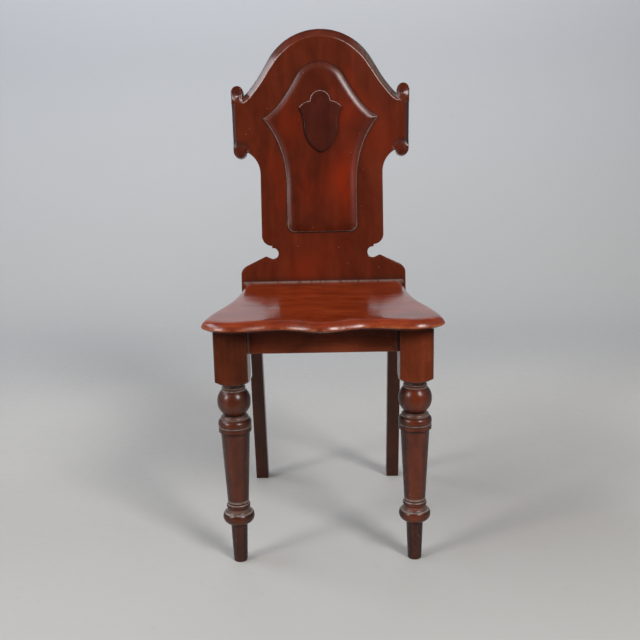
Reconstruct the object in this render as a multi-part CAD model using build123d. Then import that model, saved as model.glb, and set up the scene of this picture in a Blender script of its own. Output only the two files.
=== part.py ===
from build123d import *
import math
import os

# A mahogany hall chair with turned front legs and a shaped back. Millimetres.
# The chair faces -Y and stands on z = 0. While it is being built, y is measured back from the axes
# of the front legs; at the end everything is moved so that the middle of its box is at x = y = 0.

# Seat: two boards, glued edge to edge
SEAT_HEIGHT = 440.0         # floor to the top of the seat
SEAT_THICK = 20.0
SEAT_DEPTH = 334.0          # front leg axes to the back, along the top of the seat
SEAT_REAR_WIDTH = 327.0
SEAT_FLARE_WIDTH = 356.0    # width at the middle of the flared sides
SEAT_FLARE_Y = 107.0        # where that width is measured
SEAT_NOSE_WIDTH = 397.0     # across the rounded front corners
NOSE_REACH = 27.0           # widest point of a corner, ahead of the leg axes
LOBE_SPREAD = 290.0         # between the two shallow lobes of the front edge
LOBE_REACH = 67.0           # lobes, ahead of the leg axes
RECESS_SPREAD = 148.0       # between the two hollows beside the bow
RECESS_REACH = 55.0
BOW_REACH = 76.0            # middle of the front edge, ahead of the leg axes
SEAT_TOP_ROUND = 11.0
SEAT_BEVEL_HEIGHT = 6.0     # bevel along the lower edge
SEAT_BEVEL_DEPTH = 13.0
SEAT_JOINT_Y = 85.0         # glue joint between the two boards
SEAT_DOWEL_COUNT = 4
SEAT_DOWEL_PITCH = 80.0

# Seat frame
LEG_SPREAD = 306.4          # between the axes of the front legs
LEG_BLOCK = 56.0            # square stock of the front legs
BLOCK_HEIGHT = 86.0         # seat underside to the lower corners of the block
BLOCK_EASE = 3.0            # eased upright corners of the block
RAIL_HEIGHT = 44.0
FRONT_RAIL_THICK = 22.0
FRONT_RAIL_SETBACK = 16.0   # behind the front of the blocks
SIDE_RAIL_THICK = 22.0
REAR_RAIL_SETBACK = 2.0     # behind the front of the rear leg heads
TENON_THICK = 10.0
TENON_SHOULDER = 8.0        # above and below each tenon
FRONT_TENON_LENGTH = 28.0
TENON_WALL = 6.0            # wood left between the two mortises of a block
TENON_FIT = 0.15
TENON_END_GAP = 1.0
RAIL_EASE = 1.2

# Turned part of a front leg, from the block down to the ring
POMMEL_HEIGHT = 13.0        # lower corners of the block to the neck
POMMEL_ROUND = 0.42         # height of the pommel's curve at half its reach
NECK_DIA = 34.0
NECK_HEIGHT = 3.6
COLLAR_DIA = 40.0
COLLAR_HEIGHT = 4.2
BALL_DIA = 57.2
WAIST_DIA = 32.6
WAIST_HEIGHT = 0.8
CAP_DIA = 47.4
CAP_HEIGHT = 5.3
RING_DIA = 56.8
RING_HEIGHT = 14.2
QUIRK = 1.2                 # depth of the small grooves beside the beads
BAND_DIA = 56.4
BAND_HEIGHT = 8.7
SHAFT_TOP_DIA = 49.4
# and from the foot up to the shaft
SHAFT_FOOT_DIA = 36.4
FLARE_HEIGHT = 3.9
BEAD_DIA = 41.2
BEAD_HEIGHT = 7.4
COVE_HEIGHT = 8.2
ANKLE_TOP_DIA = 48.6
ANKLE_DIA = 54.4
ANKLE_HEIGHT = 20.3
ANKLE_MIDDLE = 13.5         # widest point above the peg
PEG_TOP_DIA = 29.0
PEG_HEIGHT = 72.0
FOOT_DIA = 24.0
FOOT_EASE = 1.5

# Rear legs
REAR_LEG_SPREAD = 286.4     # between the middles of the two legs at the floor
REAR_LEG_WIDTH = 25.9
REAR_LEG_RELIEF = 3.0       # outer face of the upper part, cut back
RELIEF_HEIGHT = 245.0       # floor to the end of the relief
RELIEF_RUN = 5.0
REAR_FOOT_Y = 361.6         # front of the foot
REAR_FOOT_DEPTH = 28.0
LEG_HEAD_DEPTH = 30.0       # at the lower edge of the rails
KNEE_DROP = 12.0            # lower edge of the rails to the knee of the leg
REAR_LEG_EASE = 1.5

# Dowels
DOWEL_DIA = 8.0
DOWEL_LENGTH = 32.0
DOWEL_IN_LEG = 14.0
DOWEL_PITCH = 24.0
DOWEL_FIT = 0.1
DOWEL_END_GAP = 0.5
DOWEL_WALL = 2.0            # wood between the crossing dowel holes of a leg head

# Back, drawn on its front face: x across, s up along the rake from the top of the seat
RAKE = 8.0                  # degrees
BACK_THICK = 25.0
BACK_RISE = 513.5
ARCH_RADIUS = 122.3
ARCH_SWEEP = 59.5           # degrees, each side of the middle
EAR_HALF = 181.4
EAR_LOBE_S = 388.0
EAR_LOBE_RADIUS = 12.5
VALLEY_S = 381.0            # floor of the notch beside the upper lobe
LOWER_LOBE_HALF = 165.5
LOWER_LOBE_S = 268.5
LOWER_LOBE_RADIUS = 13.1
WAIST_HALF = 124.8
WAIST_TOP_S = 222.0
HIP_S = 96.0
HIP_RADIUS = 20.5
HIP_STEP = 4.6
BITE_X = 102.6
BITE_RADIUS = 11.1
BITE_END_ANGLE = 66.0       # degrees below the level where the round bite ends
CUSP_X = 117.0              # the low point between the bite and the shoulder
CUSP_S = 54.4
CUSP_ROUND = 3.0
BASE_HALF = 169.0
BASE_SHOULDER_S = 29.6
BASE_SHOULDER_ROUND = 20.0
TAIL_SHOULDER_DROP = 24.0   # from the top of the seat to where the tail narrows
TAIL_ROUND = 6.0
HOLLOW_WIDTH = 17.1         # hollow moulding along the top
HOLLOW_DEPTH = 10.0
CURL_RADIUS = 17.5
EAR_ROUND = 7.0
BACK_EASE = 1.5

# Raised panel and shield
PANEL_THICK = 8.0
PANEL_ROUND = 6.5
PANEL_TOP_S = 444.6
PANEL_ARCH_RADIUS = 54.0
PANEL_ARCH_SWEEP = 58.6
PANEL_OGEE_X = 85.0
PANEL_OGEE_S = 360.0
PANEL_TIP_X = 116.6
PANEL_TIP_S = 333.0
PANEL_TIP_FALL = 29.4       # degrees below the level where the upper curve meets the tip
PANEL_TIP_RETURN = 49.5     # and where the lower curve leaves it, inwards
PANEL_FLANK_X = 87.6
PANEL_FLANK_S = 286.0
PANEL_HALF = 71.0
PANEL_SIDE_S = 195.0
PANEL_FOOT_S = 102.7
PANEL_CORNER_ROUND = 16.0
SHIELD_THICK = 5.0
SHIELD_TOP_S = 385.6
SHIELD_ARCH_RADIUS = 20.6
SHIELD_CUSP_FALL = 5.7      # degrees below the level beside the arch
SHIELD_CORNER_X = 42.6
SHIELD_CORNER_S = 353.5
SHIELD_WAIST_X = 32.8
SHIELD_WAIST_S = 315.0
SHIELD_POINT_S = 263.0

# Blocks and screws under the seat
CORNER_BLOCK_WIDTH = 28.0
CORNER_BLOCK_HEIGHT = 22.0
CORNER_CLEARANCE = 3.0      # between a front corner block and the corner of the leg
REAR_CORNER_GAP = 12.0      # between a rear corner block and the corner of the frame
GLUE_BLOCK_LENGTH = 70.0
GLUE_BLOCK_SIZE = 16.0
SCREW_DIA = 4.8
SCREW_HEAD_DIA = 9.4
SCREW_HEAD_HEIGHT = 2.8
SCREW_SLOT = 1.0
SCREW_FIT = 0.15
SEAT_SCREW_BITE = 13.0
BACK_SCREW_BITE = 20.0
BACK_SCREW_SPREAD = 90.0    # between the two screws in the rear rail

ROUND_SHARE = 0.9           # the most of a thickness that a rounding may take
REACH = 2000.0              # larger than the chair, for half-space cuts

# Worked out from the sizes above
seat_under = SEAT_HEIGHT - SEAT_THICK
rail_bottom = seat_under - RAIL_HEIGHT
rail_middle = seat_under - RAIL_HEIGHT / 2
rake = math.radians(RAKE)
leg_x = LEG_SPREAD / 2
block_half = LEG_BLOCK / 2
front_rail_y = FRONT_RAIL_SETBACK - block_half + FRONT_RAIL_THICK / 2
rear_leg_in = (REAR_LEG_SPREAD - REAR_LEG_WIDTH) / 2
rear_leg_out = (REAR_LEG_SPREAD + REAR_LEG_WIDTH) / 2
leg_head_out = rear_leg_out - REAR_LEG_RELIEF
leg_head_x = (rear_leg_in + leg_head_out) / 2
dowel_heights = [rail_middle - DOWEL_PITCH / 2, rail_middle + DOWEL_PITCH / 2]

# The front face of the back: local x across, local y up the rake, local z towards the sitter
back_plane = Plane(
    origin=(0, SEAT_DEPTH, SEAT_HEIGHT),
    x_dir=(1, 0, 0),
    z_dir=(0, -math.cos(rake), math.sin(rake)),
)
behind_back = back_plane * Pos(0, 0, -REACH / 2) * Box(REACH, REACH, REACH)


def back_y(z):
    """How far back the front face of the back is at height z."""
    return SEAT_DEPTH + (z - SEAT_HEIGHT) * math.tan(rake)


leg_head_y = back_y(rail_bottom) - LEG_HEAD_DEPTH
rear_dowel_y = leg_head_y + DOWEL_IN_LEG + DOWEL_END_GAP + DOWEL_WALL + DOWEL_DIA / 2
rail_lean = math.atan2(leg_x - leg_head_x, leg_head_y - block_half)


def side_rail_x(y):
    """Middle of a side rail at depth y; the rails lean in towards the back."""
    return leg_x - (y - block_half) * math.tan(rail_lean)


def side_rail_inner(y):
    return side_rail_x(y) - SIDE_RAIL_THICK / 2 / math.cos(rail_lean)


def mirrored(shape):
    return mirror(shape, about=Plane.YZ)


def face_of(half):
    """A face from the right half of its outline, drawn from the middle line and back to it."""
    return make_face([*half, *[mirrored(edge) for edge in half]])


def rod(start, direction, length, dia):
    """A round rod from a start point along a direction."""
    plane = Plane(origin=start, z_dir=direction)
    return extrude(plane * Circle(dia / 2), length)


def end_of(edge):
    return edge @ 1


# Seat

def seat_outline():
    """Serpentine front with a bow in the middle, round corners and sides that flare forwards."""
    bow = (0, -BOW_REACH)
    recess = (RECESS_SPREAD / 2, -RECESS_REACH)
    lobe = (LOBE_SPREAD / 2, -LOBE_REACH)
    nose = (SEAT_NOSE_WIDTH / 2, -NOSE_REACH)
    flare = (SEAT_FLARE_WIDTH / 2, SEAT_FLARE_Y)
    rear = (SEAT_REAR_WIDTH / 2, SEAT_DEPTH)
    tail = (SEAT_REAR_WIDTH / 2, SEAT_DEPTH + SEAT_THICK)
    across = (1, 0)
    along = (0, 1)
    half = [
        Spline(bow, recess, tangents=[across, across]),
        Spline(recess, lobe, tangents=[across, across]),
        Spline(lobe, nose, tangents=[across, along]),
        Spline(nose, flare, rear, tangents=[along, along]),
        Line(rear, tail),
        Line(tail, (0, tail[1])),
    ]
    return face_of(half)


def seat_dowel_places():
    first = -SEAT_DOWEL_PITCH * (SEAT_DOWEL_COUNT - 1) / 2
    height = seat_under + SEAT_THICK / 2
    return [(first + i * SEAT_DOWEL_PITCH, SEAT_JOINT_Y, height) for i in range(SEAT_DOWEL_COUNT)]


def seat_dowel(place, clearance=0.0, end_gap=0.0):
    x, y, z = place
    length = DOWEL_LENGTH + 2 * end_gap
    return rod((x, y - length / 2, z), (0, 1, 0), length, DOWEL_DIA + 2 * clearance)


def seat_boards():
    seat = Pos(0, 0, seat_under) * extrude(seat_outline(), SEAT_THICK)
    bevel_height = min(SEAT_BEVEL_HEIGHT, ROUND_SHARE * (SEAT_THICK - SEAT_TOP_ROUND))
    seat = fillet(seat.faces().sort_by(Axis.Z)[-1].edges(), SEAT_TOP_ROUND)
    under = seat.faces().sort_by(Axis.Z)[0]
    seat = chamfer(under.edges(), SEAT_BEVEL_DEPTH, bevel_height, reference=under)
    seat -= behind_back
    for place in seat_dowel_places():
        seat -= seat_dowel(place, DOWEL_FIT, DOWEL_END_GAP)
    for place in seat_screw_places():
        seat -= seat_screw_at(place, SCREW_FIT)
    joint = Plane(origin=(0, SEAT_JOINT_Y, 0), z_dir=(0, 1, 0))
    return split(seat, joint, keep=Keep.BOTTOM), split(seat, joint, keep=Keep.TOP)


# Front legs

def turned_profile():
    """Right half of the turning, from the neck under the block to the floor."""
    neck_z = seat_under - BLOCK_HEIGHT - POMMEL_HEIGHT
    ball_r = BALL_DIA / 2
    collar = (COLLAR_DIA / 2, neck_z - NECK_HEIGHT)
    ball_top = (COLLAR_DIA / 2, collar[1] - COLLAR_HEIGHT)
    ball_z = ball_top[1] - math.sqrt(ball_r**2 - (COLLAR_DIA / 2) ** 2)
    ball_end = (WAIST_DIA / 2, ball_z - math.sqrt(ball_r**2 - (WAIST_DIA / 2) ** 2))
    waist_end = (WAIST_DIA / 2, ball_end[1] - WAIST_HEIGHT)
    cap_end = (CAP_DIA / 2, waist_end[1] - CAP_HEIGHT)
    ring_top = (CAP_DIA / 2 - QUIRK, cap_end[1])
    ring_end = (BAND_DIA / 2 - QUIRK, cap_end[1] - RING_HEIGHT)
    band_top = (BAND_DIA / 2, ring_end[1])
    band_end = (BAND_DIA / 2, ring_end[1] - BAND_HEIGHT)
    shaft_top = (SHAFT_TOP_DIA / 2, band_end[1] - QUIRK)
    ankle_bottom = (PEG_TOP_DIA / 2, PEG_HEIGHT)
    ankle_widest = (ANKLE_DIA / 2, PEG_HEIGHT + ANKLE_MIDDLE)
    ankle_top = (ANKLE_TOP_DIA / 2, PEG_HEIGHT + ANKLE_HEIGHT)
    bead_end = (BEAD_DIA / 2 - QUIRK, ankle_top[1] + COVE_HEIGHT)
    bead_top = (BEAD_DIA / 2 - QUIRK, bead_end[1] + BEAD_HEIGHT)
    shaft_foot = (SHAFT_FOOT_DIA / 2, bead_top[1] + FLARE_HEIGHT)
    foot = (FOOT_DIA / 2, 0)
    neck = (NECK_DIA / 2, neck_z)
    return make_face(
        [
            Line((0, neck_z), neck),
            TangentArc(neck, collar, tangent=(0, -1)),
            Line(collar, ball_top),
            ThreePointArc(ball_top, (ball_r, ball_z), ball_end),
            Line(ball_end, waist_end),
            Bezier(waist_end, (CAP_DIA / 2, waist_end[1]), cap_end),
            Line(cap_end, ring_top),
            ThreePointArc(ring_top, (RING_DIA / 2, ring_top[1] - RING_HEIGHT / 2), ring_end),
            Line(ring_end, band_top),
            Line(band_top, band_end),
            Line(band_end, shaft_top),
            Line(shaft_top, shaft_foot),
            Bezier(shaft_foot, (SHAFT_FOOT_DIA / 2, bead_top[1]), bead_top),
            ThreePointArc(bead_top, (BEAD_DIA / 2, bead_top[1] - BEAD_HEIGHT / 2), bead_end),
            Bezier(bead_end, (BEAD_DIA / 2 - QUIRK, ankle_top[1]), ankle_top),
            ThreePointArc(ankle_top, ankle_widest, ankle_bottom),
            Line(ankle_bottom, foot),
            Line(foot, (0, 0)),
            Line((0, 0), (0, neck_z)),
        ]
    )


def pommel_profile():
    """Limits the block: its lower corners are turned over into the neck."""
    corner_r = math.hypot(block_half, block_half)
    corner_z = seat_under - BLOCK_HEIGHT
    neck_z = corner_z - POMMEL_HEIGHT
    neck = (NECK_DIA / 2, neck_z)
    corner = (corner_r, corner_z)
    middle = ((neck[0] + corner_r) / 2, neck_z + POMMEL_ROUND * POMMEL_HEIGHT)
    top = (corner_r, seat_under)
    return make_face(
        [
            Line((0, neck_z), neck),
            ThreePointArc(neck, middle, corner),
            Line(corner, top),
            Line(top, (0, seat_under)),
            Line((0, seat_under), (0, neck_z)),
        ]
    )


def front_leg():
    """The right front leg: turning, block and the two mortises."""
    turning = revolve(Plane.XZ * turned_profile(), Axis.Z)
    turning = fillet(turning.faces().sort_by(Axis.Z)[0].edges(), FOOT_EASE)
    block_total = BLOCK_HEIGHT + POMMEL_HEIGHT
    block = Pos(0, 0, seat_under - block_total / 2) * Box(LEG_BLOCK, LEG_BLOCK, block_total)
    block = fillet(block.edges().filter_by(Axis.Z), BLOCK_EASE)
    block &= revolve(Plane.XZ * pommel_profile(), Axis.Z)
    leg = Pos(leg_x, 0, 0) * (turning + block)
    leg -= front_tenon(TENON_FIT, TENON_END_GAP)
    leg -= side_tenon(TENON_FIT, TENON_END_GAP)
    return leg


# Rails

def tenon(length, clearance, end_gap):
    """A tenon along +X from x = 0, or the room for it."""
    height = RAIL_HEIGHT - 2 * TENON_SHOULDER + 2 * clearance
    total = length + end_gap
    return Pos(total / 2, 0, 0) * Box(total, TENON_THICK + 2 * clearance, height)


def front_tenon(clearance=0.0, end_gap=0.0):
    place = Pos(leg_x - block_half, front_rail_y, rail_middle)
    return place * tenon(FRONT_TENON_LENGTH, clearance, end_gap)


def side_tenon(clearance=0.0, end_gap=0.0):
    """Reaches forwards into the block and stops short of the front rail's mortise."""
    front_mortise_y = front_rail_y + TENON_THICK / 2 + TENON_FIT
    length = block_half - front_mortise_y - TENON_WALL - TENON_END_GAP
    return Pos(leg_x, block_half, rail_middle) * Rot(0, 0, -90) * tenon(length, clearance, end_gap)


def front_rail():
    length = LEG_SPREAD - LEG_BLOCK
    rail = Pos(0, front_rail_y, rail_middle) * Box(length, FRONT_RAIL_THICK, RAIL_HEIGHT)
    lower = rail.edges().filter_by(Axis.X).group_by(Axis.Z)[0]
    rail = fillet(lower, RAIL_EASE)
    return rail + front_tenon() + mirrored(front_tenon())


def side_rail():
    """The right side rail, leaning in from the front block to the head of the rear leg."""
    half = SIDE_RAIL_THICK / 2 / math.cos(rail_lean)
    front, rear = block_half, leg_head_y
    plan = Polyline(
        (side_rail_x(front) - half, front),
        (side_rail_x(front) + half, front),
        (side_rail_x(rear) + half, rear),
        (side_rail_x(rear) - half, rear),
        close=True,
    )
    rail = Pos(0, 0, rail_bottom) * extrude(make_face(plan), RAIL_HEIGHT) + side_tenon()
    for hole in side_dowels(DOWEL_FIT, DOWEL_END_GAP):
        rail -= hole
    return rail


def rear_rail():
    front = leg_head_y + REAR_RAIL_SETBACK
    depth = 2 * LEG_HEAD_DEPTH
    rail = Pos(0, front + depth / 2, rail_middle) * Box(2 * rear_leg_in, depth, RAIL_HEIGHT)
    rail -= behind_back
    for hole in rear_dowels(DOWEL_FIT, DOWEL_END_GAP):
        rail -= hole
        rail -= mirrored(hole)
    for x in back_screw_places():
        rail -= back_screw_at(x, SCREW_FIT)
    return rail


def side_dowels(clearance=0.0, end_gap=0.0):
    """The two dowels from the right side rail into the rear leg."""
    length = DOWEL_LENGTH + 2 * end_gap
    dia = DOWEL_DIA + 2 * clearance
    start = leg_head_y + DOWEL_IN_LEG - DOWEL_LENGTH - end_gap
    return [rod((leg_head_x, start, z), (0, 1, 0), length, dia) for z in dowel_heights]


def rear_dowels(clearance=0.0, end_gap=0.0):
    """The two dowels from the rear rail into the right rear leg."""
    length = DOWEL_LENGTH + 2 * end_gap
    dia = DOWEL_DIA + 2 * clearance
    start = rear_leg_in + DOWEL_IN_LEG - DOWEL_LENGTH - end_gap
    return [rod((start, rear_dowel_y, z), (1, 0, 0), length, dia) for z in dowel_heights]


# Rear legs

def rear_leg():
    """The right rear leg: sawn from a board, raked backwards below a knee."""
    knee = rail_bottom - KNEE_DROP
    side = Polyline(
        (REAR_FOOT_Y, 0),
        (REAR_FOOT_Y + REAR_FOOT_DEPTH, 0),
        (back_y(knee), knee),
        (back_y(seat_under), seat_under),
        (leg_head_y, seat_under),
        (leg_head_y, knee),
        close=True,
    )
    side_plane = Plane(origin=(rear_leg_in, 0, 0), x_dir=(0, 1, 0), z_dir=(1, 0, 0))
    leg = extrude(side_plane * make_face(side), REAR_LEG_WIDTH)
    raked_edges = [edge for edge in leg.edges() if edge.length > knee / 2]
    leg = fillet(raked_edges, REAR_LEG_EASE)
    leg -= leg_relief()
    for hole in [*side_dowels(DOWEL_FIT, DOWEL_END_GAP), *rear_dowels(DOWEL_FIT, DOWEL_END_GAP)]:
        leg -= hole
    for x in back_screw_places():
        leg -= back_screw_at(x, SCREW_FIT)
    return leg


def leg_relief():
    """What is cut from the outer face of the leg, with a short ramp at its lower end."""
    front = Polyline(
        (rear_leg_out, RELIEF_HEIGHT - RELIEF_RUN),
        (leg_head_out, RELIEF_HEIGHT),
        (leg_head_out, SEAT_HEIGHT),
        (rear_leg_out + REAR_LEG_RELIEF, SEAT_HEIGHT),
        (rear_leg_out + REAR_LEG_RELIEF, RELIEF_HEIGHT - RELIEF_RUN),
        close=True,
    )
    return extrude(Plane.XZ * make_face(front), REACH, both=True)


# Back

def ear_edges():
    """The upper lobe, the straight outer edge tangent to both lobes, and the lower lobe of an ear."""
    upper = Vector(EAR_HALF - EAR_LOBE_RADIUS, EAR_LOBE_S)
    lower = Vector(LOWER_LOBE_HALF, LOWER_LOBE_S)
    run = lower - upper
    turn = math.acos((EAR_LOBE_RADIUS - LOWER_LOBE_RADIUS) / run.length)
    angle = math.atan2(run.Y, run.X) + turn
    out = Vector(math.cos(angle), math.sin(angle))
    side_top = upper + out * EAR_LOBE_RADIUS
    side_end = lower + out * LOWER_LOBE_RADIUS
    upper_top = upper + Vector(0, EAR_LOBE_RADIUS)
    lower_bottom = lower - Vector(0, LOWER_LOBE_RADIUS)
    return [
        ThreePointArc(upper - Vector(EAR_LOBE_RADIUS, 0), upper_top, side_top),
        Line(side_top, side_end),
        ThreePointArc(side_end, lower_bottom, lower - Vector(LOWER_LOBE_RADIUS, 0)),
    ]


def arch_curve(inset):
    """The top of the back from its middle to the notch at the ear, or a line inside it by inset."""
    sweep_angle = math.radians(ARCH_SWEEP)
    heading = Vector(math.cos(sweep_angle), -math.sin(sweep_angle))
    notch = Vector(EAR_HALF - 2 * EAR_LOBE_RADIUS, VALLEY_S)
    arch_end = Vector(-ARCH_RADIUS * heading.Y, BACK_RISE - ARCH_RADIUS * (1 - heading.X))
    gap = notch - arch_end
    valley_radius = (gap.Y * heading.X - gap.X * heading.Y) / (1 - heading.X)
    flank = (gap.X + valley_radius * heading.Y) / heading.X
    inward = Vector(heading.Y, -heading.X) * inset
    arch = CenterArc((0, BACK_RISE - ARCH_RADIUS), ARCH_RADIUS - inset, 90 - ARCH_SWEEP, ARCH_SWEEP)
    straight = Line(arch_end + inward, arch_end + heading * flank + inward)
    valley_middle = (notch.X, notch.Y + valley_radius)
    valley = CenterArc(valley_middle, valley_radius + inset, 270 - ARCH_SWEEP, ARCH_SWEEP)
    return [arch, straight, valley]


def back_half_outline():
    """Right half of the back: arch, ear, waist, scrolled foot and tail."""
    ear = ear_edges()
    notch = (EAR_HALF - 2 * EAR_LOBE_RADIUS, VALLEY_S)
    lower_in = end_of(ear[-1])
    waist_top = (WAIST_HALF, WAIST_TOP_S)
    hip = (WAIST_HALF, HIP_S)
    hip_end = (WAIST_HALF - HIP_RADIUS, HIP_S - HIP_RADIUS)
    step_end = (hip_end[0], hip_end[1] - HIP_STEP)
    bite_s = step_end[1] - math.sqrt(BITE_RADIUS**2 - (BITE_X - step_end[0]) ** 2)
    bite_start = math.degrees(math.atan2(step_end[1] - bite_s, step_end[0] - BITE_X))
    bite = CenterArc((BITE_X, bite_s), BITE_RADIUS, bite_start, 360 - BITE_END_ANGLE - bite_start)
    tail_s = -TAIL_SHOULDER_DROP
    tail_in = tail_s - (BASE_HALF - leg_head_out)
    tail_end = (rail_bottom - SEAT_HEIGHT) / math.cos(rake)
    foot = FilletPolyline(
        end_of(bite),
        (CUSP_X, CUSP_S),
        (BASE_HALF, BASE_SHOULDER_S),
        (BASE_HALF, tail_s),
        (leg_head_out, tail_in),
        (leg_head_out, tail_end),
        radius=[CUSP_ROUND, BASE_SHOULDER_ROUND, TAIL_ROUND, TAIL_ROUND],
    )
    return [
        *arch_curve(0),
        Line(notch, ear[0] @ 0),
        *ear,
        TangentArc(waist_top, lower_in, tangent=(0, 1)),
        Line(waist_top, hip),
        TangentArc(hip, hip_end, tangent=(0, -1)),
        Line(hip_end, step_end),
        bite,
        *foot.edges(),
        Line((leg_head_out, tail_end), (0, tail_end)),
    ]


def hollow_cutter():
    """The hollow moulding that follows the right half of the top edge and curls up inside the ear."""
    bottom = Vector(EAR_HALF - 2 * EAR_LOBE_RADIUS, VALLEY_S - HOLLOW_WIDTH)
    curl = CenterArc((bottom.X, bottom.Y + CURL_RADIUS), CURL_RADIUS, 270, 90)
    run_out = Line(end_of(curl), (bottom.X + CURL_RADIUS, EAR_LOBE_S + 2 * EAR_LOBE_RADIUS))
    path = Wire([*arch_curve(HOLLOW_WIDTH), curl, run_out])
    lip = (0, 0)
    floor = (HOLLOW_WIDTH, HOLLOW_DEPTH)
    section = make_face(
        [
            TangentArc(floor, lip, tangent=(-1, 0)),
            Polyline(floor, (HOLLOW_WIDTH, -BACK_EASE), (0, -BACK_EASE), lip),
        ]
    )
    start = Plane(origin=(0, BACK_RISE - HOLLOW_WIDTH, 0), x_dir=(0, 1, 0), z_dir=(-1, 0, 0))
    return sweep(start * section, path=path)


def ear_round_cutter():
    """Rounds over the outer front edge of the right ear, from lobe to lobe."""
    upper, side, lower = ear_edges()
    path = Wire([upper, side, lower])
    section = make_face(
        [
            TangentArc((EAR_ROUND, 0), (0, EAR_ROUND), tangent=(-1, 0)),
            Polyline(
                (0, EAR_ROUND),
                (-BACK_EASE, EAR_ROUND),
                (-BACK_EASE, -BACK_EASE),
                (EAR_ROUND, -BACK_EASE),
                (EAR_ROUND, 0),
            ),
        ]
    )
    start = Plane(origin=upper @ 0, x_dir=(1, 0, 0), z_dir=(0, 1, 0))
    return sweep(start * section, path=path)


def back_board():
    board = extrude(face_of(back_half_outline()), -BACK_THICK)
    board = fillet(board.faces().sort_by(Axis.Z)[-1].edges(), BACK_EASE)
    board = fillet(board.faces().sort_by(Axis.Z)[0].edges(), BACK_EASE)
    for cutter in (ear_round_cutter(), hollow_cutter()):
        board -= cutter
        board -= mirrored(cutter)
    board = back_plane * board
    for x in back_screw_places():
        board -= back_screw_at(x, SCREW_FIT)
    return board


def heading_of(angle):
    """Unit direction at an angle in degrees below the level, outwards."""
    return (math.cos(math.radians(angle)), -math.sin(math.radians(angle)))


def panel_half_outline():
    centre_s = PANEL_TOP_S - PANEL_ARCH_RADIUS
    arch = CenterArc((0, centre_s), PANEL_ARCH_RADIUS, 90 - PANEL_ARCH_SWEEP, PANEL_ARCH_SWEEP)
    arch_end = arch @ 0
    arch_heading = heading_of(PANEL_ARCH_SWEEP)
    tip_heading = heading_of(PANEL_TIP_FALL)
    return_heading = heading_of(180 - PANEL_TIP_RETURN)
    ogee = (PANEL_OGEE_X, PANEL_OGEE_S)
    tip = (PANEL_TIP_X, PANEL_TIP_S)
    flank = (PANEL_FLANK_X, PANEL_FLANK_S)
    side_top = (PANEL_HALF, PANEL_SIDE_S)
    corner = (PANEL_HALF, PANEL_FOOT_S + PANEL_CORNER_ROUND)
    corner_end = (PANEL_HALF - PANEL_CORNER_ROUND, PANEL_FOOT_S)
    return [
        arch,
        Spline(arch_end, ogee, tip, tangents=[arch_heading, tip_heading]),
        Spline(tip, flank, side_top, tangents=[return_heading, (0, -1)]),
        Line(side_top, corner),
        TangentArc(corner, corner_end, tangent=(0, -1)),
        Line(corner_end, (0, PANEL_FOOT_S)),
    ]


def back_panel():
    panel = extrude(face_of(panel_half_outline()), PANEL_THICK)
    edge_round = min(PANEL_ROUND, ROUND_SHARE * PANEL_THICK)
    panel = fillet(panel.faces().sort_by(Axis.Z)[-1].edges(), edge_round)
    return back_plane * panel


def shield_half_outline():
    centre_s = SHIELD_TOP_S - SHIELD_ARCH_RADIUS
    arch = CenterArc((0, centre_s), SHIELD_ARCH_RADIUS, 0, 90)
    cusp = arch @ 0
    corner = Vector(SHIELD_CORNER_X, SHIELD_CORNER_S)
    waist = (SHIELD_WAIST_X, SHIELD_WAIST_S)
    point = (0, SHIELD_POINT_S)
    return [
        arch,
        TangentArc(cusp, corner, tangent=heading_of(SHIELD_CUSP_FALL)),
        TangentArc(waist, corner, tangent=(0, 1)),
        TangentArc(waist, point, tangent=(0, -1)),
    ]


def back_shield():
    shield = extrude(face_of(shield_half_outline()), SHIELD_THICK)
    return back_plane * Pos(0, 0, PANEL_THICK) * shield


# Blocks and screws under the seat

def front_block_corners():
    """Plan of the right front corner block: a diagonal bar from the front rail to the side rail."""
    rail_face = front_rail_y + FRONT_RAIL_THICK / 2
    outer = leg_x - 2 * block_half - CORNER_CLEARANCE * math.sqrt(2)
    inner = outer - CORNER_BLOCK_WIDTH * math.sqrt(2)
    slope = math.tan(rail_lean)
    corners = [(inner + rail_face, rail_face), (outer + rail_face, rail_face)]
    for diagonal in (outer, inner):
        y = (side_rail_inner(0) - diagonal) / (1 + slope)
        corners.append((y + diagonal, y))
    return corners


def rear_block_corners():
    """Plan of the right rear corner block: a diagonal bar from the rear rail to the side rail."""
    rail_face = leg_head_y + REAR_RAIL_SETBACK
    outer = side_rail_inner(rail_face) + rail_face - REAR_CORNER_GAP * math.sqrt(2)
    inner = outer - CORNER_BLOCK_WIDTH * math.sqrt(2)
    slope = math.tan(rail_lean)
    corners = [(inner - rail_face, rail_face), (outer - rail_face, rail_face)]
    for diagonal in (outer, inner):
        y = (diagonal - side_rail_inner(0)) / (1 - slope)
        corners.append((diagonal - y, y))
    return corners


def corner_block(corners):
    plan = Pos(0, 0, seat_under) * make_face(Polyline(*corners, close=True))
    block = extrude(plan, amount=CORNER_BLOCK_HEIGHT, dir=(0, 0, -1))
    return block - seat_screw_at(middle_of(corners), SCREW_FIT)


def middle_of(corners):
    return sum(x for x, y in corners) / len(corners), sum(y for x, y in corners) / len(corners)


def glue_block(corner, inward):
    """A three-cornered block in the angle between a rail and the seat; inward points off the rail."""
    facing = Vector(*inward).normalized()
    along = facing.cross(Vector(0, 0, 1))
    start = Vector(*corner, seat_under) - along * (GLUE_BLOCK_LENGTH / 2)
    plane = Plane(origin=start, x_dir=facing, z_dir=along)
    angle = Polyline((0, 0), (GLUE_BLOCK_SIZE, 0), (0, -GLUE_BLOCK_SIZE), close=True)
    return extrude(plane * make_face(angle), GLUE_BLOCK_LENGTH)


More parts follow.
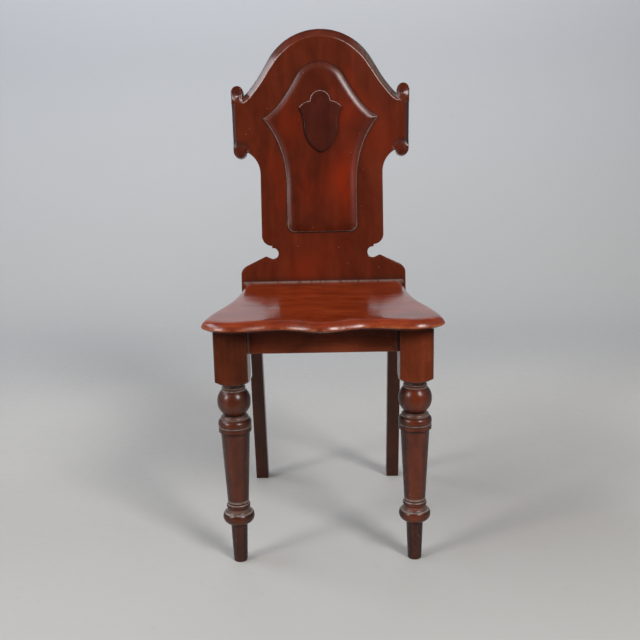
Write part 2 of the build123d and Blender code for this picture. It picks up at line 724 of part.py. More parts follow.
def glue_blocks():
    """One block at the middle of each rail."""
    front_face = front_rail_y + FRONT_RAIL_THICK / 2
    rear_face = leg_head_y + REAR_RAIL_SETBACK
    side_y = (front_face + rear_face) / 2
    side_corner = (side_rail_inner(side_y), side_y)
    side = glue_block(side_corner, (-math.cos(rail_lean), -math.sin(rail_lean)))
    return [glue_block((0, front_face), (0, 1)), glue_block((0, rear_face), (0, -1)), side, mirrored(side)]


def screw(length, clearance):
    """A slotted countersunk wood screw along +Z from the top of its head, or the room for it."""
    radius = SCREW_DIA / 2 + clearance
    head_radius = SCREW_HEAD_DIA / 2 + clearance
    shank = Pos(0, 0, (length + clearance) / 2) * Cylinder(radius, length + clearance)
    head = Pos(0, 0, SCREW_HEAD_HEIGHT / 2) * Cone(head_radius, radius, SCREW_HEAD_HEIGHT)
    if clearance:
        return shank + head
    return shank + head - Box(SCREW_HEAD_DIA, SCREW_SLOT, 2 * SCREW_SLOT)


def seat_screw_places():
    right = [middle_of(front_block_corners()), middle_of(rear_block_corners())]
    return right + [(-x, y) for x, y in right]


def seat_screw_at(place, clearance=0.0):
    length = CORNER_BLOCK_HEIGHT + SEAT_SCREW_BITE
    return Pos(*place, seat_under - CORNER_BLOCK_HEIGHT) * screw(length, clearance)


def back_screw_places():
    half = BACK_SCREW_SPREAD / 2
    return [-leg_head_x, -half, half, leg_head_x]


def back_screw_at(x, clearance=0.0):
    s = (rail_middle - SEAT_HEIGHT) / math.cos(rake)
    return back_plane * Pos(x, s, -BACK_THICK) * screw(BACK_THICK + BACK_SCREW_BITE, clearance)


def all_nodes():
    seat_front, seat_rear = seat_boards()
    right = {
        "front_leg": front_leg(),
        "rear_leg": rear_leg(),
        "side_rail": side_rail(),
        "corner_block_front": corner_block(front_block_corners()),
        "corner_block_rear": corner_block(rear_block_corners()),
    }
    rail_dowels = [*side_dowels(), *rear_dowels()]
    nodes = {
        "seat_front_board": seat_front,
        "seat_rear_board": seat_rear,
        "seat_dowels": Compound([seat_dowel(place) for place in seat_dowel_places()]),
        "back_board": back_board(),
        "back_panel": back_panel(),
        "back_shield": back_shield(),
        "front_rail": front_rail(),
        "rear_rail": rear_rail(),
        "rail_dowels": Compound([*rail_dowels, *[mirrored(dowel) for dowel in rail_dowels]]),
        "seat_glue_blocks": Compound(glue_blocks()),
        "seat_screws": Compound([seat_screw_at(place) for place in seat_screw_places()]),
        "back_screws": Compound([back_screw_at(x) for x in back_screw_places()]),
    }
    for name, shape in right.items():
        nodes[f"{name}_right"] = shape
        nodes[f"{name}_left"] = mirrored(shape)
    return nodes


def main():
    os.makedirs("parts", exist_ok=True)
    nodes = all_nodes()
    boxes = [shape.bounding_box() for shape in nodes.values()]
    middle_y = (min(box.min.Y for box in boxes) + max(box.max.Y for box in boxes)) / 2
    for name, shape in nodes.items():
        export_step(Pos(0, -middle_y, 0) * shape, f"parts/{name}.step")


main()
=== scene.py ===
import math

import bmesh
import bpy
import numpy as np
from mathutils import Matrix, Vector
from mathutils.geometry import delaunay_2d_cdt


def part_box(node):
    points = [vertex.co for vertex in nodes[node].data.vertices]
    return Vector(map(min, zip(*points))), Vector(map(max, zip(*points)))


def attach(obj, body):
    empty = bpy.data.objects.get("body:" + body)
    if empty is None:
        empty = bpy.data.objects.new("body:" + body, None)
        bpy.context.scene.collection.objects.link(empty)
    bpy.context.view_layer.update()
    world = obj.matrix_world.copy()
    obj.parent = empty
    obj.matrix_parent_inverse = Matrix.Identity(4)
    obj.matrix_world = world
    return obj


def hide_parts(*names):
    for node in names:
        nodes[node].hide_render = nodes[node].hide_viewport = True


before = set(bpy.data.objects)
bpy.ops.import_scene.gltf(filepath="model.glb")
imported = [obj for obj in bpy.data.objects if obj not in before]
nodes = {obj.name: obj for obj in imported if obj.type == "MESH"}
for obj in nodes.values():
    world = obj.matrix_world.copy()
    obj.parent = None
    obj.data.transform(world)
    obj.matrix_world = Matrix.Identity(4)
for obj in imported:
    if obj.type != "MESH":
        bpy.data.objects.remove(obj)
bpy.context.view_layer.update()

# A mahogany hall chair. Shapes are drawn in millimetres, and y is measured back from the axes of the
# front legs; place() and on_back() turn them into metres in the frame of the solids.
MM = 0.001
LEG_AXIS_Y = sum(c.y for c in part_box("front_leg_right")) / 2 / MM

# Seat
SEAT_HEIGHT, SEAT_THICK, SEAT_DEPTH = 440.0, 20.0, 334.0
SEAT_UNDER = SEAT_HEIGHT - SEAT_THICK
SEAT_ROUND, SEAT_REACH, SEAT_NOSE = 16.8, 16.2, 1.2
SEAT_BEVEL_HEIGHT, SEAT_BEVEL_DEPTH = 6.0, 13.0
SEAT_JOINT_Y = 85.0
JOINT_EASE = 0.5
# Back
RAKE = math.radians(8.0)
BACK_THICK, BACK_RISE = 25.0, 513.5
ARCH_RADIUS, ARCH_SWEEP = 122.3, 59.5
EAR_HALF, EAR_LOBE_S, EAR_LOBE_RADIUS, VALLEY_S = 181.4, 388.0, 12.5, 381.0
LOWER_LOBE_HALF, LOWER_LOBE_S, LOWER_LOBE_RADIUS = 165.5, 268.5, 13.1
HOLLOW_WIDTH, HOLLOW_DEPTH, HOLLOW_CURVE, ARRIS_SOFT = 17.1, 11.0, 1.4, 0.45
EAR_START, EAR_BAND, EAR_SLOPE, BACK_EASE = 157.0, 7.0, 1.1, 1.5
BOWL_X, BOWL_S, BOWL_IN, BOWL_OUT, BOWL_HIGH, BOWL_DEPTH = 166.4, 382.0, 8.0, 13.0, 17.0, 7.0
BOWL_START, BOWL_SOFT, CARVED_EASE = 153.0, 0.02, 0.8
PANEL_THICK, PANEL_ROLL, PANEL_FALL = 8.0, 17.0, 4.8
SHIELD_THICK, SHIELD_EASE = 5.0, 0.9
# Seat frame
LEG_X, BLOCK_HALF, BLOCK_LENGTH = 153.2, 28.0, 86.0
RAIL_HEIGHT, RAIL_THICK, FRONT_RAIL_Y = 44.0, 22.0, -1.0
RAIL_BOTTOM = SEAT_UNDER - RAIL_HEIGHT
REAR_LEG_IN, REAR_LEG_OUT, REAR_LEG_RELIEF, RELIEF_HEIGHT = 130.25, 156.15, 3.0, 245.0
REAR_FOOT_Y, REAR_FOOT_DEPTH, LEG_HEAD_DEPTH = 361.6, 28.0, 30.0
KNEE = RAIL_BOTTOM - 12.0
SCREW_HEAD_DIA, SCREW_HEAD_HEIGHT, BACK_SCREW_SPREAD = 9.4, 2.8, 90.0

STEP = 1.5      # spacing of points along an outline


def back_y(z):
    """How far back the front face of the back is at height z."""
    return SEAT_DEPTH + (z - SEAT_HEIGHT) * math.tan(RAKE)


LEG_HEAD_Y = back_y(RAIL_BOTTOM) - LEG_HEAD_DEPTH
LEG_HEAD_X = (REAR_LEG_IN + REAR_LEG_OUT - REAR_LEG_RELIEF) / 2


def place(points):
    """Chair drawing in millimetres to the frame in metres."""
    return (np.asarray(points, float) + (0, LEG_AXIS_Y, 0)) * MM


def on_back(points):
    """Points drawn on the back (across, up the rake, towards the sitter) to the frame in metres."""
    across, up, out = np.asarray(points, float).T
    y = SEAT_DEPTH + up * math.sin(RAKE) - out * math.cos(RAKE)
    z = SEAT_HEIGHT + up * math.cos(RAKE) + out * math.sin(RAKE)
    return place(np.stack([across, y, z], 1))


# Lines

def run(start, end, step=STEP):
    """Points along a straight line."""
    start, end = np.array(start, float), np.array(end, float)
    count = max(1, math.ceil(np.linalg.norm(end - start) / step))
    return start + np.linspace(0, 1, count + 1)[:, None] * (end - start)


def arc(centre, radius, start, sweep, step=STEP):
    count = max(4, math.ceil(radius * abs(math.radians(sweep)) / step))
    turn = np.radians(start + sweep * np.linspace(0, 1, count + 1))
    return np.array(centre, float) + radius * np.stack([np.cos(turn), np.sin(turn)], 1)


def toward(angle):
    """Heading at an angle in degrees."""
    return np.array([math.cos(math.radians(angle)), math.sin(math.radians(angle))])


def tangent_arc(start, heading, end, step=STEP):
    """An arc that leaves start along heading and ends at end."""
    start, end = np.array(start, float), np.array(end, float)
    along = np.array(heading, float) / np.linalg.norm(heading)
    left = np.array([-along[1], along[0]])
    chord = end - start
    if abs(chord @ left) < 1e-6:
        return run(start, end, step)
    radius = (chord @ chord) / (2 * (chord @ left))
    centre = start + left * radius
    first = math.degrees(math.atan2(*(start - centre)[::-1]))
    turn = 2 * math.degrees(math.atan2(chord @ left, chord @ along))
    return arc(centre, abs(radius), first, turn, step)


def arc_through(start, middle, end, step=STEP):
    """An arc through three points."""
    a, b, c = (complex(*p) for p in (start, middle, end))
    w = (c - a) / (b - a)
    centre = a + (b - a) * (w - abs(w) ** 2) / (2j * w.imag)
    out = (start[0] - centre.real, start[1] - centre.imag)
    heading = (out[1], -out[0]) if w.imag < 0 else (-out[1], out[0])
    return tangent_arc(start, heading, end, step)


def spline(points, start_heading, end_heading, step=STEP):
    """A smooth curve through two or three points with given headings at its ends."""
    p = np.array(points, float)
    gaps = np.linalg.norm(np.diff(p, axis=0), axis=1)
    slopes = np.diff(p, axis=0) / gaps[:, None]
    first, last = (np.array(h, float) / np.linalg.norm(h) for h in (start_heading, end_heading))
    if len(p) == 2:
        tangents = [first, last]
    else:
        bend = (slopes[1] - slopes[0]) / gaps.sum()
        first = first * np.linalg.norm(slopes[0] - bend * gaps[0])
        last = last * np.linalg.norm(slopes[1] + bend * gaps[1])
        pull = 3 * (gaps[1] * slopes[0] + gaps[0] * slopes[1]) - gaps[1] * first - gaps[0] * last
        tangents = [first, pull / (2 * gaps.sum()), last]
    pieces = []
    for i, gap in enumerate(gaps):
        t = np.linspace(0, 1, max(2, math.ceil(gap / step)) + 1)[:, None]
        pieces.append(
            (2 * t**3 - 3 * t**2 + 1) * p[i]
            + (t**3 - 2 * t**2 + t) * gap * tangents[i]
            + (3 * t**2 - 2 * t**3) * p[i + 1]
            + (t**3 - t**2) * gap * tangents[i + 1]
        )
    return join(*pieces)


def rounded(points, radii, step=STEP):
    """Straight runs whose inner corners are rounded."""
    points = [np.array(p, float) for p in points]
    pieces, last = [], points[0]
    for before, corner, after, radius in zip(points, points[1:], points[2:], radii):
        a = (before - corner) / np.linalg.norm(before - corner)
        b = (after - corner) / np.linalg.norm(after - corner)
        reach = radius / math.tan(math.acos(np.clip(a @ b, -1, 1)) / 2)
        first, second = corner + a * reach, corner + b * reach
        pieces += [run(last, first, step), tangent_arc(first, -a, second, step)]
        last = second
    return join(*pieces, run(last, points[-1], step))


def curve(start, pull, end, count):
    """A soft curve that leaves its start and reaches its end in line with a third point."""
    t = np.linspace(0, 1, count)[:, None]
    return (1 - t) ** 2 * np.array(start) + 2 * t * (1 - t) * np.array(pull) + t * t * np.array(end)


def join(*pieces):
    """One line from pieces that meet end to end."""
    line = np.vstack(pieces)
    keep = np.r_[True, np.linalg.norm(np.diff(line, axis=0), axis=1) > 1e-4]
    return line[keep]


def whole(half):
    """A closed outline from its right half, drawn from the middle line and back to it."""
    return np.vstack([half, (half * (-1, 1))[::-1][1:-1]])


def closed(loop):
    return np.vstack([loop, loop[:1]])


def nearest(points, line):
    """Distance from points to a line, and the side of it they are on: 1 is left of its direction."""
    start, along = line[:-1], np.diff(line, axis=0)
    square = (along**2).sum(1)
    gap, side = np.empty(len(points)), np.empty(len(points))
    for i in range(0, len(points), 3000):
        to = points[i:i + 3000, None] - start
        share = np.clip((to * along).sum(2) / square, 0, 1)
        off = ((to - share[..., None] * along) ** 2).sum(2)
        best = off.argmin(1)
        row = np.arange(len(best))
        gap[i:i + 3000] = np.sqrt(off[row, best])
        d, p = along[best], to[row, best]
        side[i:i + 3000] = np.sign(d[:, 0] * p[:, 1] - d[:, 1] * p[:, 0])
    return gap, side


def edge_gap(points, loop):
    """Distance from points to a closed outline."""
    return nearest(points, closed(loop))[0]


def inside(points, loop):
    """Which points lie inside a closed outline."""
    x, y = points.T
    found = np.zeros(len(points), bool)
    for (x0, y0), (x1, y1) in zip(loop, np.roll(loop, -1, 0)):
        if y0 != y1:
            found ^= ((y0 > y) != (y1 > y)) & (x < (x1 - x0) * (y - y0) / (y1 - y0) + x0)
    return found


def offset_line(line, gap):
    """An open line moved to its left by gap, which may change along it."""
    ahead = np.gradient(line, axis=0)
    ahead /= np.linalg.norm(ahead, axis=1)[:, None]
    return line + np.stack([-ahead[:, 1], ahead[:, 0]], 1) * np.reshape(gap, (-1, 1))


def way_round(loop):
    """1 for an outline drawn anticlockwise, -1 for one drawn clockwise."""
    return np.sign((loop[:, 0] * np.roll(loop[:, 1], -1) - loop[:, 1] * np.roll(loop[:, 0], -1)).sum())


def grow(loop, depth):
    """A closed outline moved outwards."""
    ahead = np.roll(loop, -1, 0) - np.roll(loop, 1, 0)
    ahead /= np.linalg.norm(ahead, axis=1)[:, None]
    return loop + np.stack([ahead[:, 1], -ahead[:, 0]], 1) * way_round(loop) * depth


def inset(loop, depth):
    """Stretches of an outline moved inwards, without the parts that would fold over."""
    ahead = np.roll(loop, -1, 0) - loop
    ahead /= np.linalg.norm(ahead, axis=1)[:, None]
    normal = np.stack([-ahead[:, 1], ahead[:, 0]], 1) * way_round(loop)
    mitre = normal + np.roll(normal, 1, 0)
    mitre /= np.maximum(np.linalg.norm(mitre, axis=1), 1e-6)[:, None]
    ring = loop + mitre * (depth / np.maximum((mitre * normal).sum(1), 0.4))[:, None]
    good = edge_gap(ring, loop) > 0.96 * depth
    ring, good = closed(ring), np.r_[good, good[0]]
    parts, part = [], []
    for point, fine in zip(ring, good):
        if fine:
            part.append(point)
        elif part:
            parts.append(part)
            part = []
    return [np.array(p) for p in [*parts, part] if len(p) > 1]


def insets(loop, depths):
    return [ring for depth in depths for ring in inset(loop, depth)]


def stretches(line, keep):
    """The unbroken stretches of the points of a line that are kept."""
    longest_gap = 4.0
    line = line[keep]
    breaks = np.where(np.linalg.norm(np.diff(line, axis=0), axis=1) > longest_gap)[0] + 1
    return [part for part in np.split(line, breaks) if len(part) > 1]


# Meshes

def fill(outline, lines, pitch):
    """Triangles inside an outline that follow the given lines, with loose points between them."""
    low, high = outline.min(0) + pitch / 2, outline.max(0)
    x, y = np.meshgrid(*(np.arange(a, b, pitch) for a, b in zip(low, high)))
    x[::2] += pitch / 3
    loose = np.stack([x.ravel(), y.ravel()], 1)
    loose = loose[inside(loose, outline)]
    for line in [closed(outline), *lines]:
        loose = loose[nearest(loose, line)[0] > 0.6 * pitch]
    points, edges = [], []
    for line in [closed(outline), *lines]:
        first = len(points)
        points += [Vector(p) for p in line]
        edges += [(first + i, first + i + 1) for i in range(len(line) - 1)]
    points += [Vector(p) for p in loose]
    made = delaunay_2d_cdt(points, edges, [], 1, 1e-4)
    return np.array([tuple(p) for p in made[0]]), [tuple(f) for f in made[2]]


def rim_of(faces):
    """Corners along the open edge of a sheet of triangles, in order."""
    once = {}
    for face in faces:
        for a, b in zip(face, face[1:] + face[:1]):
            if (b, a) in once:
                del once[b, a]
            else:
                once[a, b] = True
    following = {a: b for a, b in once}
    start = next(iter(following))
    loop = [start]
    while following[loop[-1]] != start:
        loop.append(following[loop[-1]])
    return loop


def board(outline, front_lines, rear_lines, front, rear, pitch=6.0, wall_rows=3):
    """A board: front and rear give the height of its two faces over points of the drawing.
    Returns its corners in the drawing, with the height as third number, and its faces."""
    flat, faces = fill(outline, front_lines, pitch)
    rim = rim_of(faces)
    under, under_faces = fill(flat[rim], rear_lines, 2 * pitch)
    number = {tuple(np.round(p, 3)): i for i, p in enumerate(under)}
    under_rim = [number[tuple(np.round(flat[i], 3))] for i in rim]
    top = np.column_stack([flat, front(flat)])
    low = np.column_stack([under, rear(under)])
    corners = [top, low]
    offset = len(top)
    faces = faces + [tuple(offset + i for i in f[::-1]) for f in under_faces]
    rows = [np.array(rim)]
    total = len(top) + len(low)
    for k in range(1, wall_rows):
        corners.append(top[rim] + (low[under_rim] - top[rim]) * k / wall_rows)
        rows.append(total + np.arange(len(rim)))
        total += len(rim)
    rows.append(offset + np.array(under_rim))
    for upper, lower in zip(rows, rows[1:]):
        for i in range(len(rim)):
            j = (i + 1) % len(rim)
            faces.append((upper[j], upper[i], lower[i], lower[j]))
    return np.vstack(corners), faces


def loft(rings):
    """A closed skin over rings of points, each with the same count."""
    count = len(rings[0])
    faces = [tuple(range(count)), tuple(range(len(rings) * count - 1, (len(rings) - 1) * count - 1, -1))]
    for k in range(len(rings) - 1):
        for i in range(count):
            j = (i + 1) % count
            a, b = k * count, (k + 1) * count
            faces.append((a + i, b + i, b + j, a + j))
    return np.vstack(rings), faces


def bar_section(low, high, ease, parts=6):
    """A rectangle with eased corners as a ring of points."""
    (x0, y0), (x1, y1) = low, high
    left, right, bottom, top = x0 + ease, x1 - ease, y0 + ease, y1 - ease
    centres = ((right, top), (left, top), (left, bottom), (right, bottom))
    bends = [arc(centre, ease, 90 * i, 90, ease / 3) for i, centre in enumerate(centres)]
    ring = []
    for bend, after in zip(bends, bends[1:] + bends[:1]):
        ring += list(bend)
        ring += list(bend[-1] + np.linspace(0, 1, parts + 1)[1:-1, None] * (after[0] - bend[-1]))
    return np.array(ring)


def piece(name, corners, faces, finish, replaces, marks):
    """A finished piece of the chair in place of its solid; marks says where it is worn, dirty, waxed or
    dull, and where shade and highlights are painted on it.
    """
    mesh = bpy.data.meshes.new(name)
    mesh.from_pydata([tuple(p) for p in corners], [], faces)
    dress(mesh, name, finish, replaces, marks)


def dress(mesh, name, finish, replaces, marks, sharp=38):
    shape = bmesh.new()
    shape.from_mesh(mesh)
    bmesh.ops.recalc_face_normals(shape, faces=shape.faces)
    shape.to_mesh(mesh)
    shape.free()
    mesh.shade_smooth()
    mesh.set_sharp_from_angle(angle=math.radians(sharp))
    for mark, values in marks.items():
        values = np.clip(values, 0, 1).astype(np.float32)
        mesh.attributes.new(mark, "FLOAT", "POINT").data.foreach_set("value", values)
    mesh.materials.clear()
    mesh.materials.append(finish)
    shown = bpy.data.objects.new(name, mesh)
    bpy.context.scene.collection.objects.link(shown)
    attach(shown, "root")
    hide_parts(replaces)


def round_over(gap, radius):
    """How far a rounded edge has dropped at a distance from the outline."""
    left = np.clip(radius - gap, 0, radius)
    return radius - np.sqrt(radius**2 - left**2)


def near(gap, reach):
    """1 at a line, fading away over a distance."""
    return np.exp(-((gap / reach) ** 2))


def fade(gap, reach):
    """0 before a line, rising to 1 over a distance."""
    return np.clip(gap / reach, 0, 1)


def soften(share):
    """A share from 0 to 1 with a gentle start and end."""
    return share * share * (3 - 2 * share)


def spot(points, centre, reach, squeeze=1.0):
    """1 at a point of the drawing, fading away round it."""
    across, up = (points - np.array(centre)).T
    return near(np.hypot(across / squeeze, up), reach)


def ripple(points, size, seed):
    """Soft unevenness between -1 and 1, about size across."""
    rng = np.random.default_rng(seed)
    value = np.zeros(len(points))
    for _ in range(6):
        wave = rng.normal(size=points.shape[1]) * 2 * math.pi / size / math.sqrt(points.shape[1])
        value += np.sin(points @ wave + rng.uniform(0, 2 * math.pi))
    return value / 6


def patchy(points, size, seed):
    """Soft unevenness between 0 and 1."""
    return 0.5 + 0.5 * ripple(points, size, seed)


# Finishes

def colour(*levels):
    """A colour as it looks on a screen, from 0 to 255, as the shader takes it."""
    return (*(((c / 255 + 0.055) / 1.055) ** 2.4 if c > 10 else c / 255 / 12.92 for c in levels), 1.0)


class Nodes:
    """A node tree and short ways to add to it."""

    def __init__(self, tree):
        self.tree = tree

    def put(self, socket, value):
        if isinstance(value, bpy.types.NodeSocket):
            self.tree.links.new(value, socket)
        else:
            socket.default_value = value

    def add(self, kind, inputs=(), **settings):
        node = self.tree.nodes.new(kind)
        for name, value in settings.items():
            setattr(node, name, value)
        for socket, value in dict(inputs).items():
            self.put(node.inputs[socket], value)
        return node

    def math(self, operation, *values):
        return self.add("ShaderNodeMath", dict(enumerate(values)), operation=operation).outputs[0]

    def plus(self, first, *others):
        for value in others:
            first = self.math("ADD", first, value)
        return first

    def times(self, first, second):
        return self.math("MULTIPLY", first, second)

    def between(self, value, low, high, start=0.0, end=1.0):
        """value from low to high, turned into start to end and held there."""
        inputs = {"Value": value, "From Min": low, "From Max": high, "To Min": start, "To Max": end}
        return self.add("ShaderNodeMapRange", inputs, interpolation_type="SMOOTHSTEP").outputs["Result"]


class Finish(Nodes):
    """A material whose patterns follow the place on the piece."""

    def __init__(self, name):
        self.material = bpy.data.materials.new(name)
        self.material.use_nodes = True
        super().__init__(self.material.node_tree)
        self.tree.nodes.clear()
        self.surface = self.add("ShaderNodeBsdfPrincipled")
        self.add("ShaderNodeOutputMaterial", {"Surface": self.surface.outputs[0]})
        self.coordinates = self.add("ShaderNodeTexCoord").outputs["Object"]

    def set(self, **values):
        for name, value in values.items():
            self.put(self.surface.inputs[name.replace("_", " ").title().replace("Ior", "IOR")], value)

    def stretch(self, sizes, turn=(0, 0, 0), shift=(0, 0, 0)):
        """Object coordinates turned to the grain and measured in the given sizes, in metres."""
        inputs = {"Vector": self.coordinates, "Location": shift, "Rotation": turn, "Scale": sizes}
        return self.add("ShaderNodeMapping", inputs, vector_type="TEXTURE").outputs[0]

    def noise(self, place, detail=2.0, rough=0.5, swirl=0.0):
        inputs = {"Vector": place, "Scale": 1.0, "Detail": detail, "Roughness": rough, "Distortion": swirl}
        return self.add("ShaderNodeTexNoise", inputs).outputs["Fac"]

    def cells(self, place):
        """Distance from the middle of the nearest cell."""
        return self.add("ShaderNodeTexVoronoi", {"Vector": place, "Scale": 1.0}).outputs["Distance"]

    def ramp(self, value, stops):
        """Colours at places from 0 to 1 along a value."""
        node = self.add("ShaderNodeValToRGB", {"Fac": value})
        while len(node.color_ramp.elements) < len(stops):
            node.color_ramp.elements.new(0.5)
        for element, (position, shade) in zip(node.color_ramp.elements, stops):
            element.position = position
            element.color = colour(*shade)
        return node.outputs["Color"]

    def mix(self, share, first, second):
        """The first colour with a share of the second, which is given as it looks on a screen."""
        inputs = {"Factor": share, 6: first, 7: colour(*second)}
        return self.add("ShaderNodeMix", inputs, data_type="RGBA").outputs[2]

    def mark(self, name):
        return self.add("ShaderNodeAttribute", attribute_name=name).outputs["Fac"]

    def bump(self, height, distance, strength, below=None):
        node = self.add("ShaderNodeBump", {"Strength": strength, "Distance": distance, "Height": height})
        if below is not None:
            self.put(node.inputs["Normal"], below)
        return node.outputs["Normal"]


def grain_along(direction):
    """The turn of a pattern whose first axis follows the grain."""
    return Vector((1, 0, 0)).rotation_difference(Vector(direction)).to_euler("XYZ")


def mahogany(
    name, direction, dark, middle, light, flush, polish,
    shift=(0, 0, 0), worn=(140, 70, 40), shine=0.5, spread=0.14, streak=0.2,
):
    """French-polished mahogany: streaked figure, pores and red patches under the polish, and wear, dirt,
    wax, dull places, painted shade and painted highlights where the piece is marked with them."""
    f = Finish(name)
    turn = grain_along(direction)
    patch_shift, mottle_shift = ([s + more for s in shift] for more in (0.37, 0.19))
    figure = f.noise(f.stretch((0.24, 0.034, 0.034), turn, shift), 3, 0.55, 0.6)
    streaks = f.noise(f.stretch((0.16, 0.0042, 0.0042), turn, shift), 4, 0.6, 0.2)
    pores = f.noise(f.stretch((0.0075, 0.00055, 0.00055), turn, shift), 1, 0.5)
    patches = f.noise(f.stretch((0.11, 0.06, 0.06), turn, patch_shift), 2, 0.5, 0.4)
    mottle = f.noise(f.stretch((0.050, 0.032, 0.032), turn, mottle_shift), 3, 0.55, 0.6)
    fine = f.noise(f.stretch((0.006, 0.006, 0.006)), 3, 0.6)

    tone = f.plus(f.times(figure, 0.56 - streak), f.times(streaks, streak), f.times(mottle, 0.44))
    shade = f.ramp(tone, [(0.5 - spread, dark), (0.50, middle), (0.5 + spread, light)])
    shade = f.mix(f.between(patches, 0.54, 0.74, 0.0, 0.45), shade, flush)
    shade = f.mix(f.times(f.mark("flush"), f.between(patches, 0.30, 0.58, 0.45, 1.0)), shade, flush)
    pore = f.between(pores, 0.60, 0.70)
    shade = f.mix(f.times(pore, 0.22), shade, (34, 11, 7))

    shade = f.mix(f.times(f.mark("wear"), f.between(fine, 0.34, 0.60, 0.15, 1.0)), shade, worn)
    # Dark dirt, and painted shade in creases, between parts, under the seat and on sides turned from the
    # light.
    grime_and_shade = f.times(f.mark("grime_and_shade"), f.between(fine, 0.25, 0.60, 0.65, 1.0))
    shade = f.mix(grime_and_shade, shade, (26, 13, 10))
    # Pale wax and dust, and painted highlights and grey sheen along arrises, edges and hollows.
    wax_and_highlight = f.times(f.mark("wax_and_highlight"), f.between(fine, 0.32, 0.54, 0.35, 1.0))
    shade = f.mix(wax_and_highlight, shade, (190, 170, 158))

    specks = f.cells(f.stretch((0.016, 0.016, 0.016), (0.4, 0.2, 0.7), shift))
    speck_where = f.noise(f.stretch((0.06, 0.06, 0.06), (0, 0, 0), shift), 1, 0.5)
    nick = f.times(f.between(specks, 0.036, 0.066, 1.0, 0.0), f.between(speck_where, 0.54, 0.60))
    shade = f.mix(f.times(nick, 0.7), shade, (176, 128, 104))

    rough = f.between(figure, 0.35, 0.70, polish - 0.015, polish + 0.03)
    rough = f.plus(rough, f.times(f.mark("dull"), 0.22), f.times(grime_and_shade, 0.12), f.times(wax_and_highlight, 0.35))
    hills = f.noise(f.stretch((0.075, 0.035, 0.035), turn, shift), 2, 0.5)
    normal = f.bump(hills, 0.004, 0.05)
    normal = f.bump(streaks, 0.0006, 0.03, normal)
    normal = f.bump(f.times(f.plus(pore, nick), -1.0), 0.0003, 0.06, normal)
    f.set(base_color=shade, roughness=rough, normal=normal, specular_ior_level=shine)
    return f.material


def softwood(name, direction, early, late):
    """Bare sawn softwood, browned with age."""
    f = Finish(name)
    turn = grain_along(direction)
    rings = f.noise(f.stretch((0.20, 0.006, 0.006), turn), 3, 0.5, 0.4)
    fibres = f.noise(f.stretch((0.02, 0.0006, 0.0006), turn), 2, 0.6)
    stain = f.noise(f.stretch((0.05, 0.03, 0.03), turn), 3, 0.6)
    shade = f.ramp(rings, [(0.40, early), (0.58, late)])
    shade = f.mix(f.between(fibres, 0.45, 0.70, 0.0, 0.3), shade, (92, 66, 42))
    shade = f.mix(f.between(stain, 0.50, 0.70, 0.0, 0.55), shade, (78, 52, 34))
    f.set(base_color=shade, roughness=f.between(fibres, 0.3, 0.7, 0.68, 0.85))
    f.set(normal=f.bump(fibres, 0.0004, 0.5))
    return f.material


def dark_iron(name):
    """Old iron screws, dark with a little rust and bright only where a driver rubbed them."""
    f = Finish(name)
    spots = f.noise(f.stretch((0.0025, 0.0025, 0.0025)), 4, 0.65)
    rubs = f.noise(f.stretch((0.0012, 0.005, 0.005), (0.2, 0.1, 0.6)), 2, 0.5)
    shade = f.ramp(spots, [(0.40, (58, 52, 48)), (0.56, (84, 74, 66)), (0.70, (112, 66, 42))])
    f.set(base_color=shade, metallic=f.between(spots, 0.50, 0.66, 0.9, 0.2))
    f.set(roughness=f.between(rubs, 0.35, 0.65, 0.32, 0.62), normal=f.bump(spots, 0.0002, 0.5))
    return f.material


# The grain runs up the back, across the seat and along each leg and rail.
ACROSS, BACKWARDS, UPRIGHT = (1, 0, 0), (0, 1, 0), (0, 0, 1)
UP_THE_RAKE, DOWN_THE_LEG = (0, math.sin(RAKE), math.cos(RAKE)), (0, 0.22, 1)
BACK_TONES = dict(dark=(76, 28, 13), middle=(93, 35, 17), light=(108, 42, 20), flush=(128, 38, 11))
PANEL_TONES = dict(dark=(70, 25, 11), middle=(86, 30, 13), light=(101, 37, 16), flush=(136, 38, 7))
SHIELD_TONES = dict(dark=(62, 23, 14), middle=(73, 28, 18), light=(82, 33, 21), flush=(84, 30, 17))
SEAT_TONES = dict(dark=(108, 36, 13), middle=(129, 46, 18), light=(144, 57, 25), flush=(146, 52, 16))
LEG_TONES = dict(dark=(70, 32, 17), middle=(87, 40, 23), light=(102, 49, 28), flush=(106, 45, 22))
RED_TONES = dict(dark=(90, 38, 19), middle=(113, 50, 27), light=(130, 60, 34), flush=(140, 55, 25))
REAR_TONES = dict(dark=(46, 20, 12), middle=(58, 26, 15), light=(70, 32, 19), flush=(72, 29, 16))
# The seat's worn colour also serves for the painted glints along its front edge.
SEAT_POLISH = dict(SEAT_TONES, polish=0.13, worn=(176, 100, 52), spread=0.09, streak=0.3)
LEG_POLISH, RAIL_POLISH = dict(polish=0.22, shine=0.34), dict(polish=0.26, shine=0.34)

back_finish = mahogany("back_polish", UP_THE_RAKE, polish=0.17, spread=0.18, streak=0.06, **BACK_TONES)
panel_finish = mahogany(
    "panel_polish", UP_THE_RAKE, polish=0.20, shift=(0.3, 0.2, 0.1), spread=0.17, streak=0.06, **PANEL_TONES)
shield_finish = mahogany("shield_polish", UP_THE_RAKE, polish=0.19, shift=(0.7, 0.1, 0.4), **SHIELD_TONES)
front_seat_finish = mahogany("seat_front_polish", ACROSS, shift=(0.1, 0.6, 0.2), **SEAT_POLISH)
rear_seat_finish = mahogany("seat_rear_polish", ACROSS, shift=(0.5, 0.3, 0.9), **SEAT_POLISH)
left_leg_finish = mahogany("left_leg_polish", UPRIGHT, shift=(0.2, 0.2, 0.5), **LEG_POLISH, **LEG_TONES)
right_leg_finish = mahogany("right_leg_polish", UPRIGHT, shift=(0.8, 0.5, 0.1), **LEG_POLISH, **RED_TONES)
